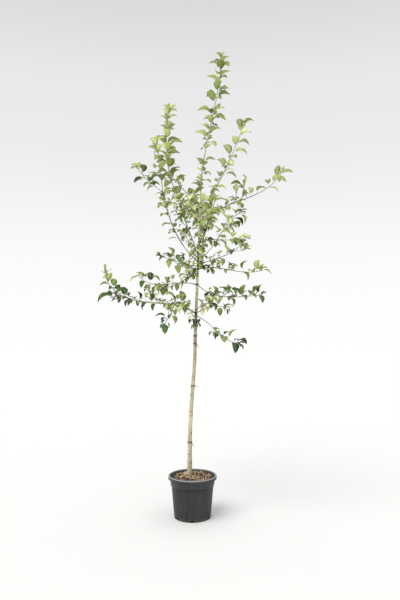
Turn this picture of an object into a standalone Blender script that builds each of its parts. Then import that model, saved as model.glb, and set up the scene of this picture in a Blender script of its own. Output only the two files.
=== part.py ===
"""A young crab tree, 2.8 m tall, in a twelve litre nursery pot.

The origin is the middle of the pot's flat underside. +X is the right of the usual view, +Y is
away from the viewer and +Z is up. Sizes are in metres and angles in degrees.
"""

import math
import random
from dataclasses import dataclass

import bmesh
import bpy
import numpy as np
from mathutils import Matrix, Vector
from mathutils.bvhtree import BVHTree

# Clearance that touching pieces keep, and the angle past which an edge is left sharp.
GAP = 0.0003
SHARP_ANGLE = 50

# The pot: a turned shell with a rolled rim, a smooth collar and a fluted wall.
POT_HEIGHT = 0.242
RIM_RADIUS = 0.1425
RIM_DEPTH = 0.020
COLLAR_RADIUS = 0.1300
COLLAR_FOOT = 0.186
COLLAR_STEP = 0.004
COLLAR_FOOT_RADIUS = 0.1280
WALL_TOP_RADIUS = 0.1235
WALL_FOOT_RADIUS = 0.1080
FOOT_RADIUS = 0.1070
RIM_EDGE = 0.003
INNER_TOP_RADIUS = 0.1272
INNER_FOOT_RADIUS = 0.1018
POT_FLOOR = 0.004
FLUTES = 36
FLUTE_FOOT = 0.014
FLUTE_DEPTH = 0.0016
DRAIN_NOTCHES = 6
DRAIN_WIDTH = 0.027
DRAIN_HEIGHT = 0.008
DRAIN_DEPTH = 0.030

# The compost that fills it, heaped a little round the trunk.
COMPOST_EDGE = 0.2235
COMPOST_LEAN = (0.0025, 0.0090)
COMPOST_CROWN = 0.006
CROWN_POWER = 6
HEAP_HEIGHT = 0.010
HEAP_WIDTH = 0.040
HEAP_FLAT = 0.026
COMPOST_RINGS = 4
COMPOST_LUMPS = 0.0020
LUMPY_FROM = 0.3
LUMPY_TO = 0.99

# The trunk, from its flat cut on the compost to the fork.
TRUNK_FOOT_X = -0.018
TRUNK_FOOT_Y = 0.020
FORK_HEIGHT = 1.855
TRUNK_SWAY = ((0.0, TRUNK_FOOT_X), (0.19, -0.0125), (0.41, 0.0115), (0.53, 0.0165), (1.0, 0.048))
TRUNK_FOOT_RADIUS = 0.0130
TRUNK_FORK_RADIUS = 0.0058
FLARE_RADIUS = 0.0060
FLARE_HEIGHT = 0.035
FLARE_RINGS = (0.0, 0.006, 0.020, 0.045)
KNOT_SWELL = 0.0021
KNOT_LENGTH = 0.010
KNOT_REACH = 0.015
KNOT_CLEAR = 0.0165
KNOT_HEIGHTS = (0.315, 0.430, 0.590, 0.762, 0.905, 1.012, 1.058, 1.105)
SNAGS = (
    (0.430, -20, (-20, -50, -62), 0.040),
    (0.762, 10, (-8, -14, -4), 0.030),
    (1.012, -10, (-15, -50, -80), 0.036),
)
SNAG_RADII = (0.0022, 0.0011)
TRUNK_SIDES_RESOLUTION = 2
TRUNK_STEP = 0.090

# Limbs taper from a swollen foot to their tip, along straight runs.
TIP_RADIUS = 0.0015
FOOT_SWELL = 0.35
FOOT_SWELL_LENGTH = 0.018
STEM_STEP = 0.050
BOUGH_RADIUS_SHARE = 0.05

# Side twigs that the seeded rule adds to a limb's leafy stem.
TWIG_FOOT_SHARE = 0.62
TWIG_LENGTH = 0.085
TWIG_LENGTH_SPREAD = (0.6, 1.0)
TWIG_PLACE_SPREAD = (0.3, 0.7)
TWIG_RISE = (0, 8, 20)
TWIG_OPENNESS = 50
LAST_TWIG_SHARE = 0.88
TWIG_LIFT = 0.25

# A leaf with its stalk, as a folded and arched blade of eight faces.
LEAF_LENGTH = 0.086
LEAF_SPREAD = 0.008
LEAF_YOUNG_LOSS = 0.14
LEAF_OPENNESS = 66
LEAF_CLOSING = 12
LEAF_OPENNESS_SPREAD = 14
LEAF_DROOP_SPREAD = (-0.10, 0.18)
YOUNG_LIFT = 0.6
LEAF_ROLL = 16
SPACING_INSIDE = 1.15
SPACING_DRAWN_IN = 0.60
SPACING_SPREAD = (0.75, 1.25)
LEAF_HALF_WIDTH = 0.25
LEAF_WIDEST = 0.54
LEAF_ARCH = 0.14
LEAF_FOLD = 0.55
LEAF_THICKNESS = 0.032
LEAF_SINK = 0.0004
ROOT_SHARE = 0.25
PHYLLOTAXIS = 137.5
TURN_SPREAD = 14
STEM_TIP_LEAVES = 3
TWIG_TIP_LEAVES = 2
TIP_LEAF_SIZES = (0.58, 0.76)
TIP_LEAF_OPENNESS = (16, 40)
TWIG_FIRST_LEAF = 0.25
TIP_STAGGER = 0.004

# Where a leaf may be: nearer to its own stem than to any other, and clear of every limb.
SPACE_MARGIN = 0.0025
TRUNK_IN_CROWN = 0.0104
LIMB_CLEARANCE = 0.0040
LEAF_TURNS = (0, 70, -70, 140, -140, 180)
LEAF_CLEAR = 0.008
SPUR_CLEAR = 0.022


@dataclass(frozen=True)
class Limb:
    """One limb of the crown: a bare bough, and the leafy stem that grows on from it.

    heading is 0 to the right and 90 away from the viewer. pitch is the slope above level at the
    foot, the middle and the tip. bare is the share of the length with no leaves, and a limb with
    none is a mass on the trunk itself. spacing is the mean run between leaves, and droop how far
    they hang. twigs is how many side twigs the seeded rule adds, and each shoot is a long one:
    its share of the length, its heading, its pitch and its length.
    """

    name: str
    height: float
    heading: float
    pitch: tuple
    length: float
    bare: float
    radius: float
    spacing: float
    droop: float
    twigs: int = 0
    shoots: tuple = ()


LIMBS = (
    Limb("leader", FORK_HEIGHT, 0, (92, 78, 87), 0.895, 0.08, 0.0048, 0.034, 0.00, 0),
    Limb("right_low", 1.176, -20, (-18, -41, -9), 0.310, 0.38, 0.0025, 0.036, 0.30, 0),
    Limb("right_front", 1.196, -50, (12, 9, -23), 0.270, 0.20, 0.0027, 0.032, 0.12, 1),
    Limb("right_long", 1.366, 12, (-47, -2, 1), 0.425, 0.22, 0.0029, 0.030, 0.14, 0,
         ((0.40, -60, 8, 0.09), (0.55, 70, 5, 0.10))),
    Limb("right_level", 1.456, -12, (15, -11, 17), 0.390, 0.06, 0.0029, 0.035, 0.16, 1),
    Limb("right_rising", 1.482, 32, (22, 23, 57), 0.420, 0.16, 0.0029, 0.036, 0.10, 1),
    Limb("right_twig", 1.619, -40, (11, -7, 1), 0.300, 0.20, 0.0025, 0.030, 0.10, 0),
    Limb("right_steep", 1.518, -30, (18, 53, 20), 0.390, 0.32, 0.0029, 0.025, 0.04, 1),
    Limb("right_wide", 1.738, 14, (45, 23, 60), 0.645, 0.18, 0.0038, 0.034, 0.06, 1,
         ((0.47, -5, 70, 0.11),)),
    Limb("right_tall", 1.826, -18, (44, 63, 67), 0.550, 0.14, 0.0038, 0.030, 0.04, 1),
    Limb("left_long", 1.190, 186, (37, 7, 90), 0.645, 0.10, 0.0038, 0.030, 0.12, 1,
         ((0.22, 195, -70, 0.125), (0.36, 150, 35, 0.11), (0.66, 178, -14, 0.07))),
    Limb("left_back", 1.362, 150, (19, -2, 42), 0.440, 0.16, 0.0031, 0.031, 0.12, 1,
         ((0.30, 215, -25, 0.10),)),
    Limb("left_drooping", 1.474, 215, (-2, 12, 8), 0.262, 0.16, 0.0027, 0.034, 0.38, 0),
    Limb("left_spur", 1.441, 235, (-5, -24, -47), 0.165, 0.0, 0.0024, 0.026, 0.25, 0),
    Limb("left_tall", 1.500, 192, (38, 75, 81), 0.760, 0.16, 0.0037, 0.030, 0.04, 1,
         ((0.62, 182, 34, 0.22),)),
    Limb("left_inner", 1.758, 165, (31, 79, 95), 0.765, 0.12, 0.0040, 0.023, 0.04, 1),
    Limb("left_front", 1.530, 220, (68, 62, 68), 0.362, 0.20, 0.0032, 0.028, 0.06, 1,
         ((0.50, 195, 45, 0.13),)),
    Limb("left_upper", 1.826, 130, (45, 41, 66), 0.500, 0.14, 0.0035, 0.034, 0.06, 1),
    Limb("front_low", 1.186, 243, (22, 14, 10), 0.270, 0.20, 0.0028, 0.034, 0.15, 0),
    Limb("front_middle", 1.600, 285, (30, 26, 48), 0.400, 0.12, 0.0034, 0.033, 0.06, 1),
    Limb("front_upper", 1.752, 256, (32, 38, 56), 0.190, 0.12, 0.0033, 0.036, 0.06, 1),
    Limb("back_low", 1.214, 72, (18, 10, 30), 0.420, 0.20, 0.0034, 0.039, 0.14, 1),
    Limb("back_middle", 1.455, 116, (12, 12, 40), 0.430, 0.16, 0.0034, 0.037, 0.14, 1),
    Limb("back_steep", 1.640, 85, (35, 40, 62), 0.470, 0.14, 0.0034, 0.036, 0.08, 1),
    Limb("back_upper", 1.745, 98, (28, 30, 52), 0.340, 0.12, 0.0033, 0.036, 0.06, 1),
    Limb("spur_left", 1.580, 176, (30, 45, 60), 0.130, 0.0, 0.0022, 0.020, 0.05, 0),
    Limb("spur_right", 1.690, -30, (30, 45, 60), 0.120, 0.0, 0.0022, 0.020, 0.05, 0),
    Limb("spur_front", 1.500, 268, (30, 40, 60), 0.110, 0.0, 0.0022, 0.020, 0.05, 0),
    Limb("spur_middle", 1.700, 274, (20, 40, 60), 0.120, 0.0, 0.0022, 0.020, 0.05, 0),
    Limb("spur_back", 1.560, 60, (30, 40, 60), 0.120, 0.0, 0.0022, 0.020, 0.05, 0),
    Limb("spur_low", 1.170, 268, (-4, -34, -62), 0.074, 0.0, 0.0019, 0.022, 0.30, 0),
)


def through(stops, place):
    """A smooth value at a place, through stops of (place, value)."""
    last = len(stops) - 1
    n = next((n for n in range(last) if place <= stops[n + 1][0]), last - 1)
    (low, first), (high, second) = stops[n], stops[n + 1]
    run = high - low
    t = (place - low) / run
    return (
        first * (1 - 3 * t**2 + 2 * t**3)
        + second * (3 * t**2 - 2 * t**3)
        + run * slope_of(stops, n) * (t - 2 * t**2 + t**3)
        + run * slope_of(stops, n + 1) * (t**3 - t**2)
    )


def slope_of(stops, n):
    """The slope at one of the stops, from the stops on either side."""
    (low, first), (high, second) = stops[max(n - 1, 0)], stops[min(n + 1, len(stops) - 1)]
    return (second - first) / (high - low)


def trunk_ground():
    """Height of the compost under the trunk."""
    return compost_height(TRUNK_FOOT_X, TRUNK_FOOT_Y)


def trunk_point(height):
    """Centre of the trunk at a height above the floor."""
    ground = trunk_ground()
    share = (height - ground) / (FORK_HEIGHT - ground)
    return Vector((through(TRUNK_SWAY, share), TRUNK_FOOT_Y * (1 - share), height))


def trunk_radius(height):
    """Radius of the trunk there, with its taper, root flare and knots."""
    ground = trunk_ground()
    share = (height - ground) / (FORK_HEIGHT - ground)
    radius = TRUNK_FOOT_RADIUS + (TRUNK_FORK_RADIUS - TRUNK_FOOT_RADIUS) * share
    radius += FLARE_RADIUS * math.exp(-(height - ground) / FLARE_HEIGHT)
    for knot in KNOT_HEIGHTS:
        radius += KNOT_SWELL * math.exp(-(((height - knot) / KNOT_LENGTH) ** 2))
    return radius


def compost_height(x, y):
    """Height of the compost's surface: crowned, steeper at the wall, and heaped at the trunk."""
    away = max(math.hypot(x - TRUNK_FOOT_X, y - TRUNK_FOOT_Y) - HEAP_FLAT, 0.0)
    rim = inner_radius(COMPOST_EDGE)
    crown = COMPOST_CROWN * (1 - min(math.hypot(x, y) / rim, 1.0) ** CROWN_POWER)
    heap = math.exp(-((away / HEAP_WIDTH) ** 2))
    lean = (COMPOST_LEAN[0] * x + COMPOST_LEAN[1] * y) / rim * (1 - heap)
    return COMPOST_EDGE + crown + lean + HEAP_HEIGHT * heap


def direction(heading, pitch):
    """Unit vector for a heading and a pitch in degrees."""
    turn, slope = math.radians(heading), math.radians(pitch)
    return Vector(
        (math.cos(slope) * math.cos(turn), math.cos(slope) * math.sin(turn), math.sin(slope))
    )


def slope_at(pitch, share):
    """Pitch along a limb, through its foot, middle and tip values."""
    foot, middle, tip = pitch
    return (
        foot * (1 - share) * (1 - 2 * share)
        + 4 * middle * share * (1 - share)
        + tip * share * (2 * share - 1)
    )


class Stem:
    """The centre line of a limb or twig, with its radius, both read at a share of its length."""

    FINE = 48

    def __init__(self, start, heading, pitch, length, radius, tip_radius):
        """Follows the pitch in fine steps, and keeps a corner every STEM_STEP or so."""
        self.length = length
        self.radii = (radius, tip_radius)
        path = [Vector(start)]
        for step in range(self.FINE):
            slope = slope_at(pitch, (step + 0.5) / self.FINE)
            path.append(path[-1] + direction(heading, slope) * (length / self.FINE))
        self.runs = max(2, round(length / STEM_STEP))
        self.corners = [path[round(n * self.FINE / self.runs)] for n in range(self.runs + 1)]

    def run_at(self, share):
        """Which straight run of the line a share falls in, and how far along that run."""
        place = min(max(share, 0.0), 1.0) * self.runs
        index = min(int(place), self.runs - 1)
        return index, place - index

    def point(self, share):
        """The centre line's point there."""
        index, along = self.run_at(share)
        return self.corners[index].lerp(self.corners[index + 1], along)

    def tangent(self, share):
        """The way the line runs there."""
        index, _ = self.run_at(share)
        return (self.corners[index + 1] - self.corners[index]).normalized()

    def radius(self, share):
        """The radius there, with the swelling at the foot."""
        foot, tip = self.radii
        swell = 1 + FOOT_SWELL * math.exp(-share * self.length / FOOT_SWELL_LENGTH)
        return (foot + (tip - foot) * share) * swell

    def sample(self):
        """Points along the outer part, for asking what it touches."""
        return [self.point(0.3 + 0.1 * n) for n in range(8)]

    def middle_of_run(self, share):
        """The middle of the straight run that a share falls in, where the stem can be parted."""
        return (self.run_at(share)[0] + 0.5) / self.runs

    def track(self, first, last):
        """Shares from first to last, with the line's corners between them."""
        corners = [n / self.runs for n in range(self.runs + 1)]
        return [first] + [share for share in corners if first < share < last] + [last]


def stem_of(limb):
    """The limb's whole centre line, from the trunk's own centre to its tip."""
    return Stem(
        trunk_point(limb.height), limb.heading, limb.pitch, limb.length, limb.radius, TIP_RADIUS
    )


def joint_of(limb, stem):
    """Share of the limb's length where its bough ends and its leafy stem begins."""
    return stem.middle_of_run(limb.bare) if limb.bare else 0.0


def twig_at(stem, share, heading, pitch, length):
    """A side twig that curves upwards from a stem at a share of its length."""
    return Stem(
        stem.point(share), heading, [pitch + rise for rise in TWIG_RISE], length,
        stem.radius(share) * TWIG_FOOT_SHARE, TIP_RADIUS,
    )


def shoots_of(limb, stem):
    """The long side twigs that the limb's row names."""
    return [twig_at(stem, *shoot) for shoot in limb.shoots]


def twig_choices(limb, stem):
    """For each side twig of the seeded rule, the ones that could grow there."""
    rng = random.Random(limb.name + "_twigs")
    turn = rng.uniform(0, 360)
    for number in range(limb.twigs):
        along = (number + rng.uniform(*TWIG_PLACE_SPREAD)) / limb.twigs
        share = limb.bare + (LAST_TWIG_SHARE - limb.bare) * along
        length = TWIG_LENGTH * rng.uniform(*TWIG_LENGTH_SPREAD)
        yield [
            twig_at(stem, share, *angles_of(sideways(stem, share, turn + other)), length)
            for other in LEAF_TURNS
        ]
        turn += PHYLLOTAXIS


def sideways(stem, share, turn):
    """The way a side twig sets out from a stem, turned round it by turn degrees."""
    tangent = stem.tangent(share)
    side = Matrix.Rotation(math.radians(turn), 3, tangent) @ tangent.orthogonal().normalized()
    opened = math.radians(TWIG_OPENNESS)
    ahead = tangent * math.cos(opened) + side * math.sin(opened) + Vector((0, 0, TWIG_LIFT))
    return ahead.normalized()


def angles_of(ahead):
    """Heading and pitch in degrees of a direction."""
    return math.degrees(math.atan2(ahead.y, ahead.x)), math.degrees(math.asin(ahead.z))


@dataclass
class Leaf:
    """A leaf's foot, the way it points, its side, its face's normal and its length."""

    foot: Vector
    along: Vector
    across: Vector
    normal: Vector
    length: float

    def point(self, share, side, lift=0.0):
        """A point of the blade: share along it, side from -1 to 1 across it."""
        half = LEAF_HALF_WIDTH * self.length * side
        rise = LEAF_ARCH * self.length * 4 * share * (1 - share)
        rise += LEAF_FOLD * abs(half) + lift
        return self.foot + self.along * (self.length * share) + self.across * half + self.normal * rise

    def corners(self):
        """The six corners of its solid: root, tip, two sides, upper and lower face."""
        half = LEAF_THICKNESS * self.length / 2
        return [
            self.point(0.0, 0),
            self.point(1.0, 0),
            self.point(LEAF_WIDEST, 1),
            self.point(LEAF_WIDEST, -1),
            self.point(LEAF_WIDEST, 0, half),
            self.point(LEAF_WIDEST, 0, -half),
        ]

    def crosses(self, other):
        """Whether two blades cut through each other beyond their roots."""
        near = (self.foot - other.foot).length < 2 * self.length
        return near and bool(self.blade().overlap(other.blade()))

    def blade(self):
        """The outer part of the leaf as a tree of faces."""
        root, tip, left, right, upper, _ = self.corners()
        return BVHTree.FromPolygons(
            [root.lerp(upper, ROOT_SHARE), tip, left, right], [(0, 2, 1), (0, 1, 3)]
        )

    def sample(self):
        """Points spread over the blade, for asking what it touches."""
        shares = (0.25, 0.4, LEAF_WIDEST, 0.7, 0.85)
        widths = (0.4, 0.8, 1.0, 0.7, 0.3)
        edge = [self.point(s, w * side) for s, w in zip(shares, widths) for side in (-1, 1)]
        return edge + [self.point(s, 0) for s in (*shares, 1.0)]


def leaf_at(stem, share, turn, openness, droop, length, roll):
    """A leaf that leaves a stem at a share of its length, turned round it by turn degrees."""
    tangent = stem.tangent(share)
    side = tangent.orthogonal().normalized()
    side = Matrix.Rotation(math.radians(turn), 3, tangent) @ side
    angle = math.radians(openness)
    along = tangent * math.cos(angle) + side * math.sin(angle)
    along = (along + Vector((0, 0, -droop))).normalized()
    upward = Vector((0, 0, 1)) - along * along.z
    if upward.length < 0.2:
        upward = tangent - along * tangent.dot(along)
    normal = Matrix.Rotation(math.radians(roll), 3, along) @ upward.normalized()
    across = normal.cross(along).normalized()
    return Leaf(stem.point(share) - along * LEAF_SINK, along, across, normal, length)


def leaf_choices(limb, stem, first, at_tip, rng):
    """For each node of a stem, the leaves that could grow there, the wanted one first."""
    share = first
    turn = rng.uniform(0, 360)
    while share < 1.0:
        young = (share - first) / max(1 - first, 0.01)
        length = LEAF_LENGTH * (1.0 - LEAF_YOUNG_LOSS * young**3)
        length += rng.uniform(-LEAF_SPREAD, LEAF_SPREAD)
        openness = LEAF_OPENNESS - LEAF_CLOSING * young**2
        openness += rng.uniform(-LEAF_OPENNESS_SPREAD, LEAF_OPENNESS_SPREAD)
        droop = limb.droop * (1 - YOUNG_LIFT * young) + rng.uniform(*LEAF_DROOP_SPREAD)
        roll = rng.uniform(-LEAF_ROLL, LEAF_ROLL)
        yield [
            leaf_at(stem, share, turn + other, openness, droop, length, roll)
            for other in LEAF_TURNS
        ]
        turn += PHYLLOTAXIS + rng.uniform(-TURN_SPREAD, TURN_SPREAD)
        spacing = limb.spacing * (SPACING_INSIDE - SPACING_DRAWN_IN * young)
        share += spacing * rng.uniform(*SPACING_SPREAD) / stem.length
    for number in range(at_tip):
        length = LEAF_LENGTH * rng.uniform(*TIP_LEAF_SIZES)
        turned = turn + 360 * number / at_tip + rng.uniform(-TURN_SPREAD, TURN_SPREAD)
        back = 1.0 - TIP_STAGGER * number / stem.length
        yield [leaf_at(stem, back, turned, rng.uniform(*TIP_LEAF_OPENNESS), 0.0, length, 0.0)]


def nearest(points, starts, ends):
    """Distance from each point to the nearest of the segments."""
    run = ends - starts
    reach = points[:, None] - starts
    share = np.clip((reach * run).sum(2) / np.maximum((run * run).sum(1), 1e-12), 0, 1)
    return np.sqrt(((reach - share[..., None] * run) ** 2).sum(2)).min(1)


class Crown:
    """Every limb's lines, so that a leaf can be asked whether it keeps to its own space."""

    COARSE = 12

    def __init__(self):
        """Works out each limb's centre line, its long shoots and its leafy and bare lines."""
        self.stems = {limb.name: stem_of(limb) for limb in LIMBS}
        self.shoots = {limb.name: shoots_of(limb, self.stems[limb.name]) for limb in LIMBS}
        self.leafy = {}
        self.bare = {"trunk": self.trunk_line()}
        for limb in LIMBS:
            stem = self.stems[limb.name]
            joint = joint_of(limb, stem)
            lines = [self.line(stem, joint, 1.0)]
            lines += [self.line(shoot, 0.0, 1.0) for shoot in self.shoots[limb.name]]
            self.leafy[limb.name] = tuple(np.concatenate(side) for side in zip(*lines))
            if joint:
                self.bare[limb.name] = (*self.line(stem, 0.0, joint), stem.radius(BOUGH_RADIUS_SHARE))

    def line(self, stem, first, last):
        """Where the segments along part of a stem start, and where they end."""
        shares = [first + (last - first) * n / self.COARSE for n in range(self.COARSE + 1)]
        points = np.array([stem.point(share) for share in shares])
        return points[:-1], points[1:]

    def trunk_line(self):
        """Where the trunk's segments start and end, and the radius that leaves keep clear of."""
        low = trunk_ground()
        heights = [low + (FORK_HEIGHT - low) * n / self.COARSE for n in range(self.COARSE + 1)]
        points = np.array([trunk_point(height) for height in heights])
        return points[:-1], points[1:], TRUNK_IN_CROWN

    def has_room(self, name, leaf):
        """Whether a leaf or twig is nearer to its own stem than to others, and touches no limb."""
        points = np.array(leaf.sample())
        own = nearest(points, *self.leafy[name])
        for other, lines in self.leafy.items():
            if other != name and (nearest(points, *lines) < own + SPACE_MARGIN).any():
                return False
        return all(
            (nearest(points, starts, ends) > radius + LIMB_CLEARANCE).all()
            for starts, ends, radius in self.bare.values()
        )

    def first_with_room(self, name, choices):
        """The first of the choices that keeps to its own space, or None."""
        return next((choice for choice in choices if self.has_room(name, choice)), None)

    def mass(self, limb):
        """The twigs and leaves of a limb's mass, by the seeded rule, each where it has room."""
        stem = self.stems[limb.name]
        found = [self.first_with_room(limb.name, choices) for choices in twig_choices(limb, stem)]
        twigs = self.shoots[limb.name] + [twig for twig in found if twig]
        first = joint_of(limb, stem) + (LEAF_CLEAR if limb.bare else SPUR_CLEAR) / stem.length
        rng = random.Random(limb.name)
        leaves = []
        runs = [(stem, first, STEM_TIP_LEAVES)]
        runs += [(twig, TWIG_FIRST_LEAF, TWIG_TIP_LEAVES) for twig in twigs]
        for run, start, at_tip in runs:
            for choices in leaf_choices(limb, run, start, at_tip, rng):
                free = [
                    leaf for leaf in choices if not any(leaf.crosses(other) for other in leaves)
                ]
                leaf = self.first_with_room(limb.name, free)
                if leaf:
                    leaves.append(leaf)
        return twigs, leaves


def material(name, color, roughness):
    """A Principled material of one colour."""
    made = bpy.data.materials.new(name)
    made.use_nodes = True
    shader = made.node_tree.nodes["Principled BSDF"]
    shader.inputs["Base Color"].default_value = (*color, 1)
    shader.inputs["Roughness"].default_value = roughness
    made.diffuse_color = (*color, 1)
    return made


def add_object(name, mesh, collection, finish):
    """Links a mesh as a named object with one material, smooth but for its sharp edges."""
    made = bpy.data.objects.new(name, mesh)
    collection.objects.link(made)
    mesh.materials.clear()
    mesh.materials.append(finish)
    mesh.shade_smooth()
    mesh.set_sharp_from_angle(angle=math.radians(SHARP_ANGLE))
    return made


def evaluated_mesh(obj):
    """The object's mesh as its modifiers leave it."""
    graph = bpy.context.evaluated_depsgraph_get()
    return bpy.data.meshes.new_from_object(obj.evaluated_get(graph))


def tube(points, radii, sides_resolution=None, profile=None):
    """A capped tube through the points as a mesh, round, or with the profile curve's section."""
    curve = bpy.data.curves.new("tube", "CURVE")
    curve.dimensions = "3D"
    curve.use_fill_caps = True
    curve.twist_mode = "MINIMUM"
    if profile is None:
        curve.bevel_depth = 1.0
        curve.bevel_resolution = sides_resolution
    else:
        curve.bevel_mode = "OBJECT"
        curve.bevel_object = profile
    spline = curve.splines.new("POLY")
    spline.points.add(len(points) - 1)
    for target, point, radius in zip(spline.points, points, radii):
        target.co = (*point, 1)
        target.radius = radius
    guide = bpy.data.objects.new("tube", curve)
    bpy.context.scene.collection.objects.link(guide)
    bpy.context.view_layer.update()
    mesh = evaluated_mesh(guide)
    bpy.data.objects.remove(guide)
    bpy.data.curves.remove(curve)
    shell = bmesh.new()
    shell.from_mesh(mesh)
    bmesh.ops.remove_doubles(shell, verts=shell.verts, dist=1e-6)
    bmesh.ops.recalc_face_normals(shell, faces=shell.faces)
    shell.to_mesh(mesh)
    shell.free()
    return mesh


def triangle_profile(cutters):
    """A three-sided section of radius 1, which the twigs are swept from."""
    curve = bpy.data.curves.new("twig_section", "CURVE")
    curve.dimensions = "2D"
    spline = curve.splines.new("POLY")
    spline.points.add(2)
    for n, target in enumerate(spline.points):
        angle = math.radians(90 + 120 * n)
        target.co = (math.cos(angle), math.sin(angle), 0, 1)
    spline.use_cyclic_u = True
    made = bpy.data.objects.new("twig_section", curve)
    hide_cutter(made, cutters)
    return made


def stem_tube(stem, first, last, clear_foot=False, **section):
    """A tube along part of a stem. Its foot keeps clear of the bough that it grows on from."""
    shares = stem.track(first, last)
    points = [stem.point(share) for share in shares]
    radii = [stem.radius(share) for share in shares]
    if clear_foot:
        points[0] += stem.tangent(first) * GAP
    return tube(points, radii, **section)


def leaf_mesh(leaf):
    """The leaf as a solid: a ball of eight faces, flattened, folded and arched."""
    ball = bmesh.new()
    bmesh.ops.create_uvsphere(ball, u_segments=4, v_segments=2, radius=1.0)
    root, tip, left, right, upper, lower = leaf.corners()
    for vertex in ball.verts:
        x, y, z = vertex.co
        if abs(z) > 0.5:
            vertex.co = upper if z > 0 else lower
        elif abs(y) > 0.5:
            vertex.co = left if y > 0 else right
        else:
            vertex.co = tip if x > 0 else root
    bmesh.ops.recalc_face_normals(ball, faces=ball.faces)
    mesh = bpy.data.meshes.new("leaf")
    ball.to_mesh(mesh)
    ball.free()
    return mesh


def is_closed(mesh):
    """Whether every edge of the mesh joins two faces."""
    shell = bmesh.new()
    shell.from_mesh(mesh)
    closed = bool(shell.faces) and all(edge.is_manifold for edge in shell.edges)
    shell.free()
    return closed


def fused(meshes):
    """One solid from meshes that overlap, by a Boolean union on a collection."""
    pieces = [bpy.data.objects.new("piece", mesh) for mesh in meshes]
    joining = bpy.data.collections.new("joining")
    bpy.context.scene.collection.children.link(joining)
    bpy.context.scene.collection.objects.link(pieces[0])
    for piece in pieces[1:]:
        joining.objects.link(piece)
    union = pieces[0].modifiers.new("union", "BOOLEAN")
    union.operation = "UNION"
    union.operand_type = "COLLECTION"
    union.collection = joining
    for solver in ("EXACT", "MANIFOLD"):
        union.solver = solver
        bpy.context.view_layer.update()
        mesh = evaluated_mesh(pieces[0])
        if is_closed(mesh):
            break
    for piece in pieces:
        bpy.data.objects.remove(piece)
    bpy.data.collections.remove(joining)
    return mesh


def cut_clear(mesh, cutter):
    """The mesh with what lies in the cutter taken away."""
    piece = bpy.data.objects.new("piece", mesh)
    bpy.context.scene.collection.objects.link(piece)
    cut = piece.modifiers.new("cut", "BOOLEAN")
    cut.operation = "DIFFERENCE"
    cut.object = cutter
    cut.solver = "EXACT"
    bpy.context.view_layer.update()
    made = evaluated_mesh(piece)
    bpy.data.objects.remove(piece)
    return made


def hide_cutter(cutter, cutters):
    """Moves a helper object to the cutters, out of the render."""
    for holder in list(cutter.users_collection):
        holder.objects.unlink(cutter)
    cutters.objects.link(cutter)
    cutter.hide_render = True
    cutter.display_type = "WIRE"


def inner_radius(height):
    """Radius of the pot's inside, which is a plain cone."""
    share = (height - POT_FLOOR) / (POT_HEIGHT - POT_FLOOR)
    return INNER_FOOT_RADIUS + (INNER_TOP_RADIUS - INNER_FOOT_RADIUS) * share


def pot_outline():
    """Half section of the pot's shell, down its outer side and back up its inner side."""
    rim_foot = POT_HEIGHT - RIM_DEPTH
    return [
        (RIM_RADIUS - RIM_EDGE, POT_HEIGHT),
        (RIM_RADIUS, POT_HEIGHT - RIM_EDGE),
        (RIM_RADIUS, rim_foot),
        (COLLAR_RADIUS, rim_foot),
        (COLLAR_FOOT_RADIUS, COLLAR_FOOT),
        (WALL_TOP_RADIUS, COLLAR_FOOT - COLLAR_STEP),
        (WALL_FOOT_RADIUS, FLUTE_FOOT),
        (FOOT_RADIUS, 0.0),
        (0.0, 0.0),
        (0.0, POT_FLOOR),
        (INNER_FOOT_RADIUS, POT_FLOOR),
        (INNER_TOP_RADIUS, POT_HEIGHT),
    ]


def spun(outline, steps):
    """A bmesh of a closed half section, spun about Z and welded into one skin."""
    shell = bmesh.new()
    corners = [shell.verts.new((radius, 0, height)) for radius, height in outline]
    edges = [shell.edges.new(pair) for pair in zip(corners, corners[1:] + corners[:1])]
    bmesh.ops.spin(
        shell, geom=corners + edges, axis=(0, 0, 1), cent=(0, 0, 0), dvec=(0, 0, 0),
        angle=2 * math.pi, steps=steps, use_merge=True, use_duplicate=False,
    )
    bmesh.ops.remove_doubles(shell, verts=shell.verts, dist=1e-5)
    bmesh.ops.recalc_face_normals(shell, faces=shell.faces)
    return shell


def build_pot(collection, cutters, finish):
    """The fluted pot with its rolled rim and its drainage notches."""
    shell = spun(pot_outline(), 2 * FLUTES)
    for vertex in shell.verts:
        radius = math.hypot(vertex.co.x, vertex.co.y)
        column = round(math.atan2(vertex.co.y, vertex.co.x) / math.pi * FLUTES)
        on_wall = WALL_FOOT_RADIUS - GAP < radius < WALL_TOP_RADIUS + GAP
        if on_wall and vertex.co.z < COLLAR_FOOT and column % 2:
            vertex.co.xy *= 1 - FLUTE_DEPTH / radius
    mesh = bpy.data.meshes.new("pot")
    shell.to_mesh(mesh)
    shell.free()
    pot = add_object("pot", mesh, collection, finish)
    for number in range(DRAIN_NOTCHES):
        angle = 2 * math.pi * number / DRAIN_NOTCHES - math.pi / 2
        bpy.ops.mesh.primitive_cube_add(size=1)
        notch = bpy.context.object
        notch.name = f"drain_notch_{number + 1}"
        notch.scale = (DRAIN_DEPTH, DRAIN_WIDTH, 2 * DRAIN_HEIGHT)
        notch.rotation_euler.z = angle
        notch.location = (FOOT_RADIUS * math.cos(angle), FOOT_RADIUS * math.sin(angle), 0)
        hide_cutter(notch, cutters)
        cut = pot.modifiers.new(notch.name, "BOOLEAN")
        cut.operation = "DIFFERENCE"
        cut.object = notch


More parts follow.
